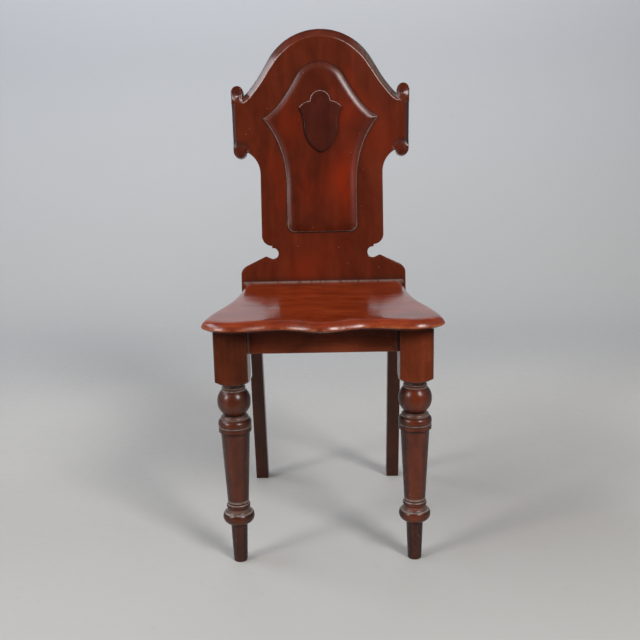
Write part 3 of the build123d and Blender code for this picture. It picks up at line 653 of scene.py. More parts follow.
rear_leg_finish = mahogany(
    "rear_leg_polish", DOWN_THE_LEG, polish=0.30, shine=0.30, shift=(0.4, 0.9, 0.3), worn=(88, 44, 30),
    **REAR_TONES)
cross_rail_finish = mahogany("cross_rail_polish", ACROSS, shift=(0.6, 0.7, 0.7), **RAIL_POLISH, **RED_TONES)
side_rail_finish = mahogany("side_rail_polish", BACKWARDS, shift=(0.9, 0.4, 0.6), **RAIL_POLISH, **RED_TONES)
block_finish = softwood("block_deal", ACROSS, (168, 128, 82), (128, 88, 52))
dowel_finish = softwood("dowel_beech", ACROSS, (182, 142, 96), (160, 118, 76))
screw_finish = dark_iron("screw_iron")


# Back

EAR_NOTCH = (EAR_HALF - 2 * EAR_LOBE_RADIUS, VALLEY_S)
LEFT = np.array([-1.0, 1.0])


def arch_line():
    """The top of the back from its middle to the sharp notch at the ear."""
    straight = 30.0
    heading = toward(-ARCH_SWEEP)
    end = np.array([-ARCH_RADIUS * heading[1], BACK_RISE - ARCH_RADIUS * (1 - heading[0])])
    bend = end + heading * straight
    return join(
        arc((0, BACK_RISE - ARCH_RADIUS), ARCH_RADIUS, 90, -ARCH_SWEEP),
        run(end, bend),
        tangent_arc(bend, heading, EAR_NOTCH),
    )


def ear_line():
    """Round the ear: upper lobe, outer edge and lower lobe."""
    upper = np.array([EAR_HALF - EAR_LOBE_RADIUS, EAR_LOBE_S])
    lower = np.array([LOWER_LOBE_HALF, LOWER_LOBE_S])
    fall = lower - upper
    turn = math.acos((EAR_LOBE_RADIUS - LOWER_LOBE_RADIUS) / np.linalg.norm(fall))
    angle = math.degrees(math.atan2(fall[1], fall[0]) + turn)
    out = toward(angle)
    return join(
        arc(upper, EAR_LOBE_RADIUS, 180, angle - 180),
        run(upper + out * EAR_LOBE_RADIUS, lower + out * LOWER_LOBE_RADIUS),
        arc(lower, LOWER_LOBE_RADIUS, angle, -180 - angle),
    )


def back_outline():
    waist, waist_top, hip_top, hip_radius, hip_step = 124.8, 222.0, 96.0, 20.5, 4.6
    bite_x, bite_radius, bite_end, cusp = 102.6, 11.1, 66.0, (117.0, 54.4)
    base, shoulder, tail, foot = 169.0, 29.6, -24.0, REAR_LEG_OUT - REAR_LEG_RELIEF
    tail_end = (RAIL_BOTTOM - SEAT_HEIGHT) / math.cos(RAKE)
    ear = ear_line()
    hip_end = (waist - hip_radius, hip_top - hip_radius)
    step_end = (hip_end[0], hip_end[1] - hip_step)
    bite_s = step_end[1] - math.sqrt(bite_radius**2 - (bite_x - step_end[0]) ** 2)
    bite_start = math.degrees(math.atan2(step_end[1] - bite_s, step_end[0] - bite_x))
    bite = arc((bite_x, bite_s), bite_radius, bite_start, 360 - bite_end - bite_start)
    corners = [bite[-1], cusp, (base, shoulder), (base, tail)]
    corners += [(foot, tail - (base - foot)), (foot, tail_end)]
    half = join(
        arch_line(),
        run(EAR_NOTCH, ear[0]),
        ear,
        tangent_arc((waist, waist_top), (0, 1), ear[-1])[::-1],
        run((waist, waist_top), (waist, hip_top)),
        tangent_arc((waist, hip_top), (0, -1), hip_end),
        run(hip_end, step_end),
        bite,
        rounded(corners, (3.0, 20.0, 6.0, 6.0)),
        run((foot, tail_end), (0, tail_end), 4.0),
    )
    return whole(half)


def hollow_arris():
    """The crisp inner edge of the hollow. It nears the edge down the flank and runs round the ear's bowl."""
    before_notch, low, rim_radius, tail = 22.0, np.array([163.5, 364.5]), 8.8, 7.0
    edge = arch_line()
    along = np.r_[0, np.cumsum(np.linalg.norm(np.diff(edge, axis=0), axis=1))]
    width = np.interp(along, (96, 117, 137, 150, 170), (HOLLOW_WIDTH, 15.3, 14.0, 13.1, 12.5))
    top = offset_line(edge, -width)[along < along[-1] - before_notch]
    top[0, 0] = 0
    rim = arc((EAR_HALF - EAR_LOBE_RADIUS, EAR_LOBE_S), rim_radius, -25, 125, 1.0)
    away = rim[-1] - rim[-2]
    return join(
        top,
        spline([top[-1], low], top[-1] - top[-2], (1, 0), 1.0),
        spline([low, rim[0]], (1, 0), rim[1] - rim[0], 1.0),
        rim,
        run(rim[-1], rim[-1] + away / np.linalg.norm(away) * tail),
    )


def panel_outline():
    top, radius, sweep = 444.6, 54.0, 58.6
    shoulder, point, waist = (85.0, 360.0), (116.6, 333.0), (87.6, 286.0)
    side, side_top, foot, corner = 71.0, 195.0, 102.7, 16.0
    arch = arc((0, top - radius), radius, 90, -sweep)
    half = join(
        arch,
        spline([arch[-1], shoulder, point], toward(-sweep), toward(-29.4)),
        spline([point, waist, (side, side_top)], toward(-130.5), (0, -1)),
        rounded([(side, side_top), (side, foot), (0, foot)], (corner,)),
    )
    return whole(half)


def shield_outline():
    top, radius, fall = 385.6, 20.6, 5.7
    corner, waist, tip = (42.6, 353.5), (32.8, 315.0), (0, 263.0)
    arch = arc((0, top - radius), radius, 90, -90)
    half = join(
        arch,
        tangent_arc(arch[-1], toward(-fall), corner),
        tangent_arc(waist, (0, 1), corner)[::-1],
        tangent_arc(waist, (0, -1), tip),
    )
    return whole(half)


back_edge, arris = back_outline(), hollow_arris()
panel_edge, shield_edge = panel_outline(), shield_outline()


def mirrored(points):
    """Points of the left half moved over to the right half."""
    return np.column_stack([np.abs(points[:, 0]), points[:, 1]])


def bowl_reach(off):
    """How far the bowl of an ear reaches on each side of its deepest point."""
    return np.where(off > 0, (BOWL_OUT, BOWL_HIGH), (BOWL_IN, BOWL_HIGH))


def hollow_depth(points):
    """Depth of the hollow moulding, and the distance from its arris (positive in the hollow)."""
    right = mirrored(points)
    gap, side = nearest(right, arris)
    gap = gap * side
    depth = HOLLOW_DEPTH * (1 - np.clip(1 - gap / HOLLOW_WIDTH, 0, 1) ** HOLLOW_CURVE)
    depth = np.where(gap < 0, gap * HOLLOW_CURVE * HOLLOW_DEPTH / HOLLOW_WIDTH, depth)
    depth = (depth + np.sqrt(depth**2 + ARRIS_SOFT**2)) / 2
    # In the ear the hollow opens into a bowl.
    off = right - (BOWL_X, BOWL_S)
    off = off / bowl_reach(off)
    bowl = BOWL_DEPTH * np.clip(1 - np.sqrt((off**2).sum(1) + BOWL_SOFT), 0, None)
    return depth + (bowl - depth) * soften(fade(right[:, 0] - BOWL_START, 8)), gap


def lobe_knob(points):
    """Depth round the lower lobe of each ear, a soft knob parted from the ear above by a shallow groove,
    and where shade is painted there: in the groove, and more lightly over the knob."""
    groove_radius, groove_depth, knob_depth = 16.0, 0.9, 3.2
    x, s = (mirrored(points) - (LOWER_LOBE_HALF, LOWER_LOBE_S)).T
    off = np.hypot(x, s)
    groove = near(off - groove_radius, 5.5) * fade(s + 3, 9)
    knob = fade(off - 3, 10) ** 2 * (off < groove_radius) * fade(6 - s, 10)
    depth = np.maximum(groove_depth * groove, knob_depth * knob)
    return depth, np.maximum(groove, 0.5 * fade(groove_radius - off, 4))


def ear_slope(points):
    """Depth of the slope along the outer edge of each ear, and where shade is painted on it."""
    right = mirrored(points)
    ear = ear_line()
    outer = ear[:, 0] > LOWER_LOBE_HALF
    outer &= (ear[:, 1] < EAR_LOBE_S + 2) & (ear[:, 1] > LOWER_LOBE_S - 2)
    gap = nearest(right, ear[outer])[0]
    ends = soften(fade(EAR_LOBE_S - 18 - right[:, 1], 14) * fade(right[:, 1] - LOWER_LOBE_S - 2, 20))
    depth = EAR_SLOPE * np.clip(EAR_BAND - gap, 0, None) * ends
    return depth, near(np.clip(gap - EAR_BAND + 1.5, 0, None), 2.6) * ends


def back_front(points):
    edge = edge_gap(points, back_edge)
    hollow, _ = hollow_depth(points)
    drop = np.maximum(hollow + round_over(edge, CARVED_EASE), round_over(edge, BACK_EASE))
    drop = np.maximum(drop, lobe_knob(points)[0] + round_over(edge, CARVED_EASE))
    return -np.maximum(drop, ear_slope(points)[0])


def screw_places():
    s = (SEAT_UNDER - RAIL_HEIGHT / 2 - SEAT_HEIGHT) / math.cos(RAKE)
    return [(x, s) for x in (-LEG_HEAD_X, -BACK_SCREW_SPREAD / 2, BACK_SCREW_SPREAD / 2, LEG_HEAD_X)]


def back_rear(points):
    edge = edge_gap(points, back_edge)
    sink = np.zeros(len(points))
    for middle in screw_places():
        off = np.linalg.norm(points - middle, axis=1)
        share = fade(SCREW_HEAD_DIA / 2 + 0.25 - off, 2.4)
        sink = np.maximum(sink, share * (SCREW_HEAD_HEIGHT + 0.15))
    return -BACK_THICK + round_over(edge, BACK_EASE) + sink


def lower_part(s):
    """1 over the lower part of the panel, 0 at its top."""
    return fade(345 - s, 30)


def back_lines():
    """Lines that the mesh of the carved front follows."""
    rings = insets(back_edge, (0.25, 0.7, 1.4))
    mouldings = []
    for gap in (-1.4, -0.6, -0.2, 0.2, 0.6, 1.2, 2.2, 3.6, 5.5, 8.0, 11.0):
        line = offset_line(arris, gap)
        clear = (nearest(line, arris)[0] > 0.97 * abs(gap)) & (edge_gap(line, back_edge) > 0.3)
        right = (line[:, 0] >= 0) & (line[:, 0] < EAR_START) & inside(line, back_edge)
        for part in stretches(line, clear & right):
            mouldings += [part, part * LEFT]
    ears, ear_inside, ear_foot, ear_top = [], 140.0, 262.0, 374.0
    for ring in insets(back_edge, (2.0, 4.5, EAR_BAND, 8.5, 10.5)):
        x, s = ring.T
        ears += stretches(ring, (np.abs(x) > ear_inside) & (s > ear_foot) & (s < ear_top))
    lobe = (LOWER_LOBE_HALF, LOWER_LOBE_S)
    knobs = [closed(arc(lobe, r, 0, 350, 1.2)) for r in (4.5, 7.0, 9.5, 11.6)]
    knobs += [arc(lobe, r, 42, 88, 1.2) for r in (13.4, 15.0, 16.8, 18.6)]
    for share in (0.12, 0.25, 0.4, 0.55, 0.7, 0.85, 0.95, 1.0):
        ring = arc((0, 0), share, 0, 352, 0.1)
        knobs.append(closed(ring * bowl_reach(ring) + (BOWL_X, BOWL_S)))
    knobs += [line * LEFT for line in knobs]
    seat_lines = [run((-160, s), (160, s), 3.0) for s in (0.3, 1.2, 2.2, 3.4)]
    around_panel = [closed(grow(panel_edge, d)) for d in (1.0, 3.0)]
    return [*rings, *mouldings, *ears, *knobs, *seat_lines, *around_panel]


def make_back():
    sinks = [closed(arc(m, r, 0, 345, 0.8)) for m in screw_places() for r in (2.4, 4.95, 6.0)]
    rear_lines = [*insets(back_edge, (0.4, 1.4)), *sinks]
    corners, faces = board(back_edge, back_lines(), rear_lines, back_front, back_rear)
    flat, height = corners[:, :2], corners[:, 2]
    x, s = flat.T
    half = np.abs(x)
    hollow, from_arris = hollow_depth(flat)
    edge = edge_gap(flat, back_edge)
    panel_gap = edge_gap(flat, panel_edge)
    outside_panel = ~inside(flat, panel_edge)
    facing = height > -12
    uneven = patchy(corners, 60, 3)
    lower, flank, in_ear = lower_part(s), fade(half - 60, 40), fade(half - 156, 8)
    shaded_ear_band, shaded_lobe = ear_slope(flat)[1], lobe_knob(flat)[1]
    arris_highlight = fade(np.where(x > 0, x + 25, -x) - 50, 40) * (1 - in_ear)
    cove = np.clip(hollow / 3 - 0.3, 0, 1) * flank * (1 - in_ear)
    # Worn colour along the arris over the top, which also stands in for its highlight line.
    wear = near(from_arris, 0.8) * 0.55 * (1 - flank)
    wear += near(edge, 1.0) * 0.2 * uneven * (hollow < 1) * (1 - shaded_ear_band)
    # Painted shadow: a dark line round the outside of the panel, stronger along its top, and painted shade
    # along the foot of the back where it meets the seat.
    grime_and_shade = outside_panel * near(panel_gap, 1.7) * (1.0 - 0.35 * lower)
    grime_and_shade += 0.55 * near(np.clip(s - 2, 0, None), 7) * (half < 166)
    # Painted shade in the groove over each lower lobe, lighter over the knob, and along the sloped outer
    # band of each ear; a dark line also runs just outside the arris.
    grime_and_shade += 0.6 * shaded_lobe + 0.3 * near(from_arris + 2.4, 0.9) + 0.7 * shaded_ear_band
    # Painted shade in the hollow towards the back's outer edge, and over the whole cove of the right flank.
    hollow_shade = (hollow > 3) * near(edge, 5.5) * (0.35 + 0.45 * flank) + 0.45 * (x > 0) * cove
    wax_and_highlight = outside_panel * near(panel_gap - 1.5, 0.6) * lower * (0.05 + 0.15 * uneven)
    # Painted highlight: a pale line along the arris down the flanks.
    wax_and_highlight += near(from_arris, np.where(from_arris < 0, 0.5, 1.1)) * arris_highlight
    # Painted grey sheen in the cove of each flank, stronger on the right.
    wax_and_highlight += (0.12 + 0.06 * np.sign(x)) * cove
    wax_and_highlight += near(s - 1.0, 1.2) * (half < 164) * (0.25 + 0.25 * uneven)
    marks = dict(
        wear=facing * wear,
        grime_and_shade=facing * grime_and_shade + hollow_shade,
        wax_and_highlight=facing * wax_and_highlight,
        dull=facing * (0.7 * shaded_ear_band + 0.3 * shaded_lobe + 0.25 * in_ear * (hollow > 0.5)),
        flush=facing * (0.45 * spot(flat, (95, 310), 55) + 0.35 * spot(flat, (-30, 40), 60)),
    )
    piece("back_board_carved", on_back(corners), faces, back_finish, "back_board", marks)


def make_panel():
    def front(points):
        """Flat in the middle, rolling over softly to a low step at the edge."""
        gap = edge_gap(points, panel_edge)
        return PANEL_THICK - PANEL_FALL * np.clip(1 - gap / PANEL_ROLL, 0, 1) ** 2 - round_over(gap, 0.3)

    depths = (0.15, 0.4, 1.0, 2.0, 3.5, 5.0, 6.5, 8.0, 9.5, 11.0, 13.0, 15.0, PANEL_ROLL)
    lines = insets(panel_edge, depths) + [closed(grow(shield_edge, d)) for d in (0.8, 2.0, 3.6)]
    corners, faces = board(panel_edge, lines, [], front, lambda p: np.zeros(len(p)), wall_rows=2)
    flat, height = corners[:, :2], corners[:, 2]
    x, s = flat.T
    gap = edge_gap(flat, panel_edge)
    shield_gap = edge_gap(flat, shield_edge)
    uneven = patchy(corners, 45, 5)
    lower = lower_part(s)
    left = fade(12 - x, 30) * fade(356 - s, 6)
    shadow = ~inside(flat, shield_edge) * near(shield_gap, 1.2 + 1.8 * left * uneven) * (0.45 + 0.5 * left)
    waxed = lower * (0.12 + 0.3 * uneven) + 0.4 * near(s - 295, 45)
    waxed += 0.4 * spot(mirrored(flat), (66, 107), 14)
    flush = 0.95 * spot(flat, (50, 200), 62, squeeze=0.6)
    flush += 0.6 * spot(flat, (56, 340), 30) + 0.35 * spot(flat, (-60, 320), 30)
    marks = dict(
        wear=near(gap - 7.0, 3.5) * 0.08 * uneven,
        dull=(0.4 - 0.25 * lower) * fade(PANEL_ROLL - gap, 8),
        # Painted shadow: a dark line round the panel's edge, strongest along its top, the shield's shadow
        # cast to its lower left, and painted shade at the foot of the panel's edge.
        grime_and_shade=near(gap, 1.0) * (0.9 - 0.6 * lower) + shadow + (height < 1) * 0.4,
        wax_and_highlight=near(gap - 0.3, 0.6) * waxed,
        flush=flush,
    )
    piece("back_panel_raised", on_back(corners), faces, panel_finish, "back_panel", marks)


def make_shield():
    def front(points):
        gap = edge_gap(points, shield_edge)
        return PANEL_THICK + SHIELD_THICK - round_over(gap, SHIELD_EASE) - 0.25 * np.clip(1 - gap / 6, 0, 1)

    rings = insets(shield_edge, (0.15, 0.5, 0.9, 1.4, 3.0, 6.0))
    corners, faces = board(shield_edge, rings, [], front, lambda p: np.full(len(p), PANEL_THICK), 5.0, 2)
    flat, height = corners[:, :2], corners[:, 2]
    gap = edge_gap(flat, shield_edge)
    upper = fade(flat[:, 1] - 350, 6)
    left = fade(12 - flat[:, 0], 30)
    marks = dict(
        wear=near(gap - 0.6, 0.9) * 0.35 * upper * (height > PANEL_THICK + 2),
        # Painted shade on the shield's sides and along its lower edges, heaviest on the left, where its
        # shadow falls.
        grime_and_shade=(height < PANEL_THICK + 3.5) * 0.8 + near(gap, 1.3) * (1 - upper) * (0.35 + 0.5 * left),
        # Painted highlight along the top edges.
        wax_and_highlight=near(gap - 0.3, 0.7) * upper * 0.75,
    )
    piece("back_shield_blank", on_back(corners), faces, shield_finish, "back_shield", marks)


# Seat

def seat_edge_line():
    """The shaped edge of the seat from the right rear corner round the front to the left rear corner."""
    bow, recess, lobe, nose = (0, -76.0), (74.0, -55.0), (145.0, -67.0), (198.5, -27.0)
    flare, rear = (178.0, 107.0), (163.5, SEAT_DEPTH)
    across, along = (1, 0), (0, 1)
    half = join(
        spline([bow, recess], across, across),
        spline([recess, lobe], across, across),
        spline([lobe, nose], across, along),
        spline([nose, flare, rear], along, along),
    )
    return np.vstack([half[::-1], (half * (-1, 1))[1:]])


seat_line = seat_edge_line()
# Small losses along the front edge: place across, size and depth
CHIPS = [(-14.0, 3.0, 0.35), (4.0, 2.4, 0.3), (30.0, 4.0, 0.35)]
CHIPS += [(-92.0, 2.5, 0.3), (104.0, 2.5, 0.3), (-163.0, 2.5, 0.3)]


def seat_part(front_part):
    """Outline of one of the two seat boards."""
    x, y = seat_line.T
    end = np.interp(SEAT_JOINT_Y, *seat_line[(x > 0) & (y > 30)][::-1].T[::-1])
    joint = run((-end, SEAT_JOINT_Y), (end, SEAT_JOINT_Y), 4.0)
    if front_part:
        return np.vstack([seat_line[y < SEAT_JOINT_Y], joint])
    right, left = (seat_line[(y > SEAT_JOINT_Y) & half] for half in (x > 0, x < 0))
    return np.vstack([right, joint[::-1], left, run(left[-1], right[0], 4.0)[1:-1]])


def chip_depth(points):
    depth = np.zeros(len(points))
    for x, size, loss in CHIPS:
        depth = np.maximum(depth, loss * near(points[:, 0] - x, size) * (points[:, 1] < 0))
    return depth


def make_seat_board(name, front_part, finish, node, seed):
    outline = seat_part(front_part)
    joint = run((-185, SEAT_JOINT_Y), (185, SEAT_JOINT_Y), 10.0)

    def top(points):
        gap = nearest(points, seat_line)[0]
        fall = SEAT_ROUND - np.sqrt(SEAT_ROUND**2 - np.clip(SEAT_REACH - gap, 0, None) ** 2)
        seam = nearest(points, joint)[0]
        wave = 0.16 * ripple(points, 150, seed) + 0.05 * ripple(points, 55, seed + 1)
        dent = chip_depth(points) * near(gap, 4.5)
        return SEAT_HEIGHT + wave * fade(gap, 12) - fall - round_over(seam, JOINT_EASE) - dent - 0.25

    def under(points):
        gap = nearest(points, seat_line)[0]
        bevel = SEAT_BEVEL_HEIGHT * np.clip(1 - gap / SEAT_BEVEL_DEPTH, 0, 1)
        return SEAT_UNDER + bevel + round_over(gap, SEAT_NOSE)

    rings = insets(outline, (0.15, 0.5, 1.2, 2.2, 3.5, 5.0, 7.0, 9.5, 12.5, SEAT_REACH))
    low_rings = insets(outline, (0.2, 0.7, 1.6, 7.0, 12.8, 13.4))
    corners, faces = board(outline, rings, low_rings, top, under, 7.0, 2)
    rear = corners[:, 1] > SEAT_DEPTH - 0.5
    corners[rear, 1] = SEAT_DEPTH - 0.15 + (corners[rear, 2] - SEAT_HEIGHT) * math.tan(RAKE)
    flat, height = corners[:, :2], corners[:, 2]
    gap = nearest(flat, seat_line)[0]
    uneven = patchy(corners, 40, seed + 2)
    upper = height > SEAT_UNDER + 6
    frontal = fade(20 - flat[:, 1], 40)
    rubbed = np.clip(1.1 + 2.2 * ripple(corners * (1, 1, 0), 22, seed + 3), 0, 1)
    to_back = SEAT_DEPTH - flat[:, 1]
    # Wear along the front edge, in broken patches that also stand in for golden glints on it.
    wear = near(gap - 0.2, 0.6) * (0.05 + 0.6 * rubbed**2 * frontal) + near(gap - 3.0, 3.0) * 0.1 * uneven
    # A dark joint between the boards, and painted shade where the seat meets the back.
    grime_and_shade = near(flat[:, 1] - SEAT_JOINT_Y, 0.7) * 0.6 + near(to_back - 3, 4) * 0.35
    marks = dict(
        dull=0.5 * upper * near(np.clip(gap - 2, 0, None), 5),
        wear=upper * wear,
        # Painted shade on the under-bevel and underside.
        grime_and_shade=upper * grime_and_shade + (height < SEAT_UNDER + 5.5) * 0.7,
        wax_and_highlight=upper * near(np.clip(to_back, 0, None), 2.0) * (0.55 + 0.45 * uneven),
    )
    piece(name, place(corners), faces, finish, node, marks)


# Legs and rails

def leg_profile():
    """Radius and height down a front leg, from the top of its block to the floor, and the heights of its
    grooves, ledges and hidden corners, where wax gathers and shade is painted."""
    corner_r, corner_z = BLOCK_HALF * math.sqrt(2) + 0.4, SEAT_UNDER - BLOCK_LENGTH
    neck_r, neck_drop, collar_r, ball_r, waist_r = 17.0, 13.0, 20.0, 28.6, 16.3
    cap_r, ring_r, band_r, quirk = 23.7, 28.4, 28.2, 1.2
    shaft_r, bead_r, ankle_r, peg_r, peg_z = 18.2, 20.6, 27.2, 14.5, 72.0
    toe_r, toe_ease = 10.5, 1.5
    neck_z = corner_z - neck_drop
    neck, collar = (neck_r, neck_z), (collar_r, neck_z - 3.6)
    shoulder = ((neck_r + corner_r) / 2, neck_z + 0.42 * neck_drop)
    ball_top = (collar_r, collar[1] - 4.2)
    ball_z = ball_top[1] - math.sqrt(ball_r**2 - collar_r**2)
    ball_end = (waist_r, ball_z - math.sqrt(ball_r**2 - waist_r**2))
    waist_end = (waist_r, ball_end[1] - 0.8)
    cap_end = (cap_r, waist_end[1] - 5.3)
    ring_top = (cap_r - quirk, cap_end[1] - 0.1)
    ring_end = (band_r - quirk, cap_end[1] - 14.2)
    band_top, band_end = (band_r, ring_end[1] - 0.1), (band_r, ring_end[1] - 8.7)
    shaft_top = (24.7, band_end[1] - quirk)
    ankle_top = (24.3, peg_z + 20.3)
    bead_end = (bead_r - quirk, ankle_top[1] + 8.2)
    bead_top = (bead_r - quirk, bead_end[1] + 7.4)
    shaft_foot = (shaft_r, bead_top[1] + 3.9)
    grooves = [collar[1], ball_top[1], cap_end[1], ring_end[1], shaft_foot[1], bead_top[1], ankle_top[1]]
    ledges = [(waist_end[1], cap_end[1]), (bead_end[1], ankle_top[1])]
    hidden = [neck_z, ball_end[1], band_end[1] - 1.5]
    line = join(
        run((0, SEAT_UNDER), (corner_r, SEAT_UNDER), 12.0),
        run((corner_r, SEAT_UNDER), (corner_r, corner_z), 4.0),
        arc_through((corner_r, corner_z), shoulder, neck, 0.9),
        tangent_arc(neck, (0, -1), collar, 0.7),
        run(collar, ball_top, 0.7),
        arc_through(ball_top, (ball_r, ball_z), ball_end, 1.2),
        run(ball_end, waist_end, 0.9),
        curve(waist_end, (cap_r, waist_end[1]), cap_end, 15),
        run(cap_end, ring_top, 0.6),
        arc_through(ring_top, (ring_r, ring_top[1] - 7.1), ring_end, 0.9),
        run(ring_end, band_top, 0.5),
        run(band_top, band_end, 0.9),
        run(band_end, shaft_top, 0.5),
        run(shaft_top, shaft_foot, 4.0),
        curve(shaft_foot, (shaft_r, bead_top[1]), bead_top, 9),
        arc_through(bead_top, (bead_r, bead_top[1] - 3.7), bead_end, 0.7),
        curve(bead_end, (bead_end[0], ankle_top[1]), ankle_top, 7),
        arc_through(ankle_top, (ankle_r, peg_z + 13.5), (peg_r, peg_z), 1.1),
        run((peg_r, peg_z), (toe_r + toe_ease, toe_ease), 3.0),
        arc((toe_r, toe_ease), toe_ease, 0, -90, 0.5),
        run((toe_r, 0), (0, 0), 4.0),
    )
    return line, grooves, ledges, hidden


def turned_leg_tree():
    """Turns a profile, drawn as a row of points, about the upright axis and planes the block square."""
    tree = bpy.data.node_groups.new("turned_leg", "GeometryNodeTree")
    sockets = {
        "Profile": "Geometry", "Rows": "Int", "Sides": "Int", "Block Half": "Float",
        "Squareness": "Float", "Axis": "Vector", "Finish": "Material",
    }
    for name, kind in sockets.items():
        tree.interface.new_socket(name, in_out="INPUT", socket_type="NodeSocket" + kind)
    tree.interface.new_socket("Leg", in_out="OUTPUT", socket_type="NodeSocketGeometry")
    n = Nodes(tree)
    given = n.add("NodeGroupInput").outputs
    rows, sides, squareness = given["Rows"], given["Sides"], given["Squareness"]
    counts = {"Vertices X": n.plus(sides, 1.0), "Vertices Y": rows}
    sheet = n.add("GeometryNodeMeshGrid", counts).outputs["Mesh"]
    index = n.add("GeometryNodeInputIndex").outputs[0]
    column = n.math("FLOOR", n.math("DIVIDE", n.plus(index, 0.5), rows))
    row = n.math("SUBTRACT", index, n.times(column, rows))
    position = n.add("GeometryNodeInputPosition").outputs[0]
    wanted = {"Geometry": given["Profile"], "Value": position, "Index": row}
    sampled = n.add("GeometryNodeSampleIndex", wanted, data_type="FLOAT_VECTOR", domain="POINT").outputs[0]
    drawn = n.add("ShaderNodeSeparateXYZ", {0: sampled}).outputs
    angle = n.times(n.math("DIVIDE", column, sides), 2 * math.pi)
    cosine, sine = n.math("COSINE", angle), n.math("SINE", angle)
    powers = [n.math("POWER", n.math("ABSOLUTE", value), squareness) for value in (cosine, sine)]
    norm = n.math("POWER", n.plus(*powers), n.math("DIVIDE", 1.0, squareness))
    radius = n.math("SMOOTH_MIN", drawn[0], n.math("DIVIDE", given["Block Half"], norm), 0.0012)
    radius = n.times(radius, n.math("GREATER_THAN", drawn[0], 1e-6))
    around = {0: n.times(radius, cosine), 1: n.times(radius, sine), 2: drawn[2]}
    around = n.add("ShaderNodeCombineXYZ", around).outputs[0]
    moved = n.add("ShaderNodeVectorMath", {0: around, 1: given["Axis"]}, operation="ADD").outputs[0]
    turned = n.add("GeometryNodeSetPosition", {"Geometry": sheet, "Position": moved}).outputs[0]
    sealed = n.add("GeometryNodeMergeByDistance", {"Geometry": turned, "Distance": 1e-6}).outputs[0]
    real = n.add("GeometryNodeRealizeInstances", {"Geometry": sealed}).outputs[0]
    finished = n.add("GeometryNodeSetMaterial", {"Geometry": real, "Material": given["Finish"]}).outputs[0]
    n.add("NodeGroupOutput", {"Leg": finished})
    return tree


def turn_leg(tree, name, line, axis, finish):
    """A mesh of the profile turned about the axis of a leg."""
    drawing = bpy.data.meshes.new(name + "_profile")
    edges = [(i, i + 1) for i in range(len(line) - 1)]
    drawing.from_pydata([(r * MM, 0, z * MM) for r, z in line], edges, [])
    blank = bpy.data.objects.new(name + "_profile", drawing)
    bpy.context.scene.collection.objects.link(blank)
    modifier = blank.modifiers.new("turning", "NODES")
    modifier.node_group = tree
    sizes = {
        "Rows": len(line), "Sides": 128, "Block Half": BLOCK_HALF * MM,
        "Squareness": 20.0, "Axis": tuple(axis), "Finish": finish,
    }
    for item in tree.interface.items_tree:
        if item.name in sizes:
            modifier[item.identifier] = sizes[item.name]
    bpy.context.view_layer.update()
    mesh = bpy.data.meshes.new_from_object(blank.evaluated_get(bpy.context.evaluated_depsgraph_get()))
    bpy.data.objects.remove(blank)
    mesh.name = name
    return mesh


def make_front_leg(tree, name, side, finish, node, seed):
    line, grooves, ledges, hidden = leg_profile()
    axis = place([(side * LEG_X, 0, 0)])[0]
    mesh = turn_leg(tree, name, line, axis, finish)
    corners = np.empty(len(mesh.vertices) * 3)
    mesh.vertices.foreach_get("co", corners)
    local = (corners.reshape(-1, 3) - axis) / MM
    x, y, z = local.T
    across, radius = np.abs(x), np.hypot(x, y)
    uneven = patchy(local, 18, seed)
    wax_and_highlight, grime_and_shade = np.zeros(len(z)), np.zeros(len(z))
    # Wax in each groove, and painted shade beside it.
    for groove, strength in zip(grooves, (0.7, 0.8, 0.9, 0.85, 0.75, 0.75, 0.85)):
        wax_and_highlight = np.maximum(wax_and_highlight, near(z - groove, 0.6) * strength * (0.45 + 0.45 * uneven))
        grime_and_shade = np.maximum(grime_and_shade, near(z - groove, 2.6) * 0.6)
    for high, low in ledges:
        wax_and_highlight = np.maximum(wax_and_highlight, ((z < high) & (z > low)) * (0.08 + 0.14 * uneven))
    # Painted shade in the hidden corners under the block, the ball and the band.
    for level in hidden:
        grime_and_shade = np.maximum(grime_and_shade, near(z - level, 2.5) * 0.8)
    neck = near(z - (grooves[0] + 4), 4.0)
    block = z > SEAT_UNDER - BLOCK_LENGTH
    below_block = fade(SEAT_UNDER - BLOCK_LENGTH - 6 - z, 6)
    at_corner = fade(np.minimum(across, np.abs(y)) - 24.6, 2.5) * block
    proud = near(radius - 28.2, 0.8) * ~block * (z > 60)
    turned_aside = fade(across / np.maximum(radius, 1) - 0.35, 0.6)
    sides = np.where(block, fade(across - 19, 10), turned_aside) ** 1.5
    # Darker in the neck; painted shade on the sides of the block and of the turning, and at the top of the
    # block under the seat.
    grime_and_shade = np.maximum(np.maximum(grime_and_shade, neck * 0.75), (0.45 + 0.3 * below_block) * sides)
    grime_and_shade += below_block * (0.25 + 0.09 * side) + near(z - SEAT_UNDER, 9) * 0.75
    grime_and_shade += fade(80 - z, 10) * 0.45 + (z < 0.5) * 0.3
    marks = dict(
        wear=at_corner * (0.05 + 0.3 * uneven) + proud * 0.1 * uneven + fade(14 - z, 14) * 0.2 * uneven,
        grime_and_shade=grime_and_shade,
        wax_and_highlight=np.maximum(wax_and_highlight, neck * 0.25 * uneven),
    )
    dress(mesh, name, finish, node, marks, 42)


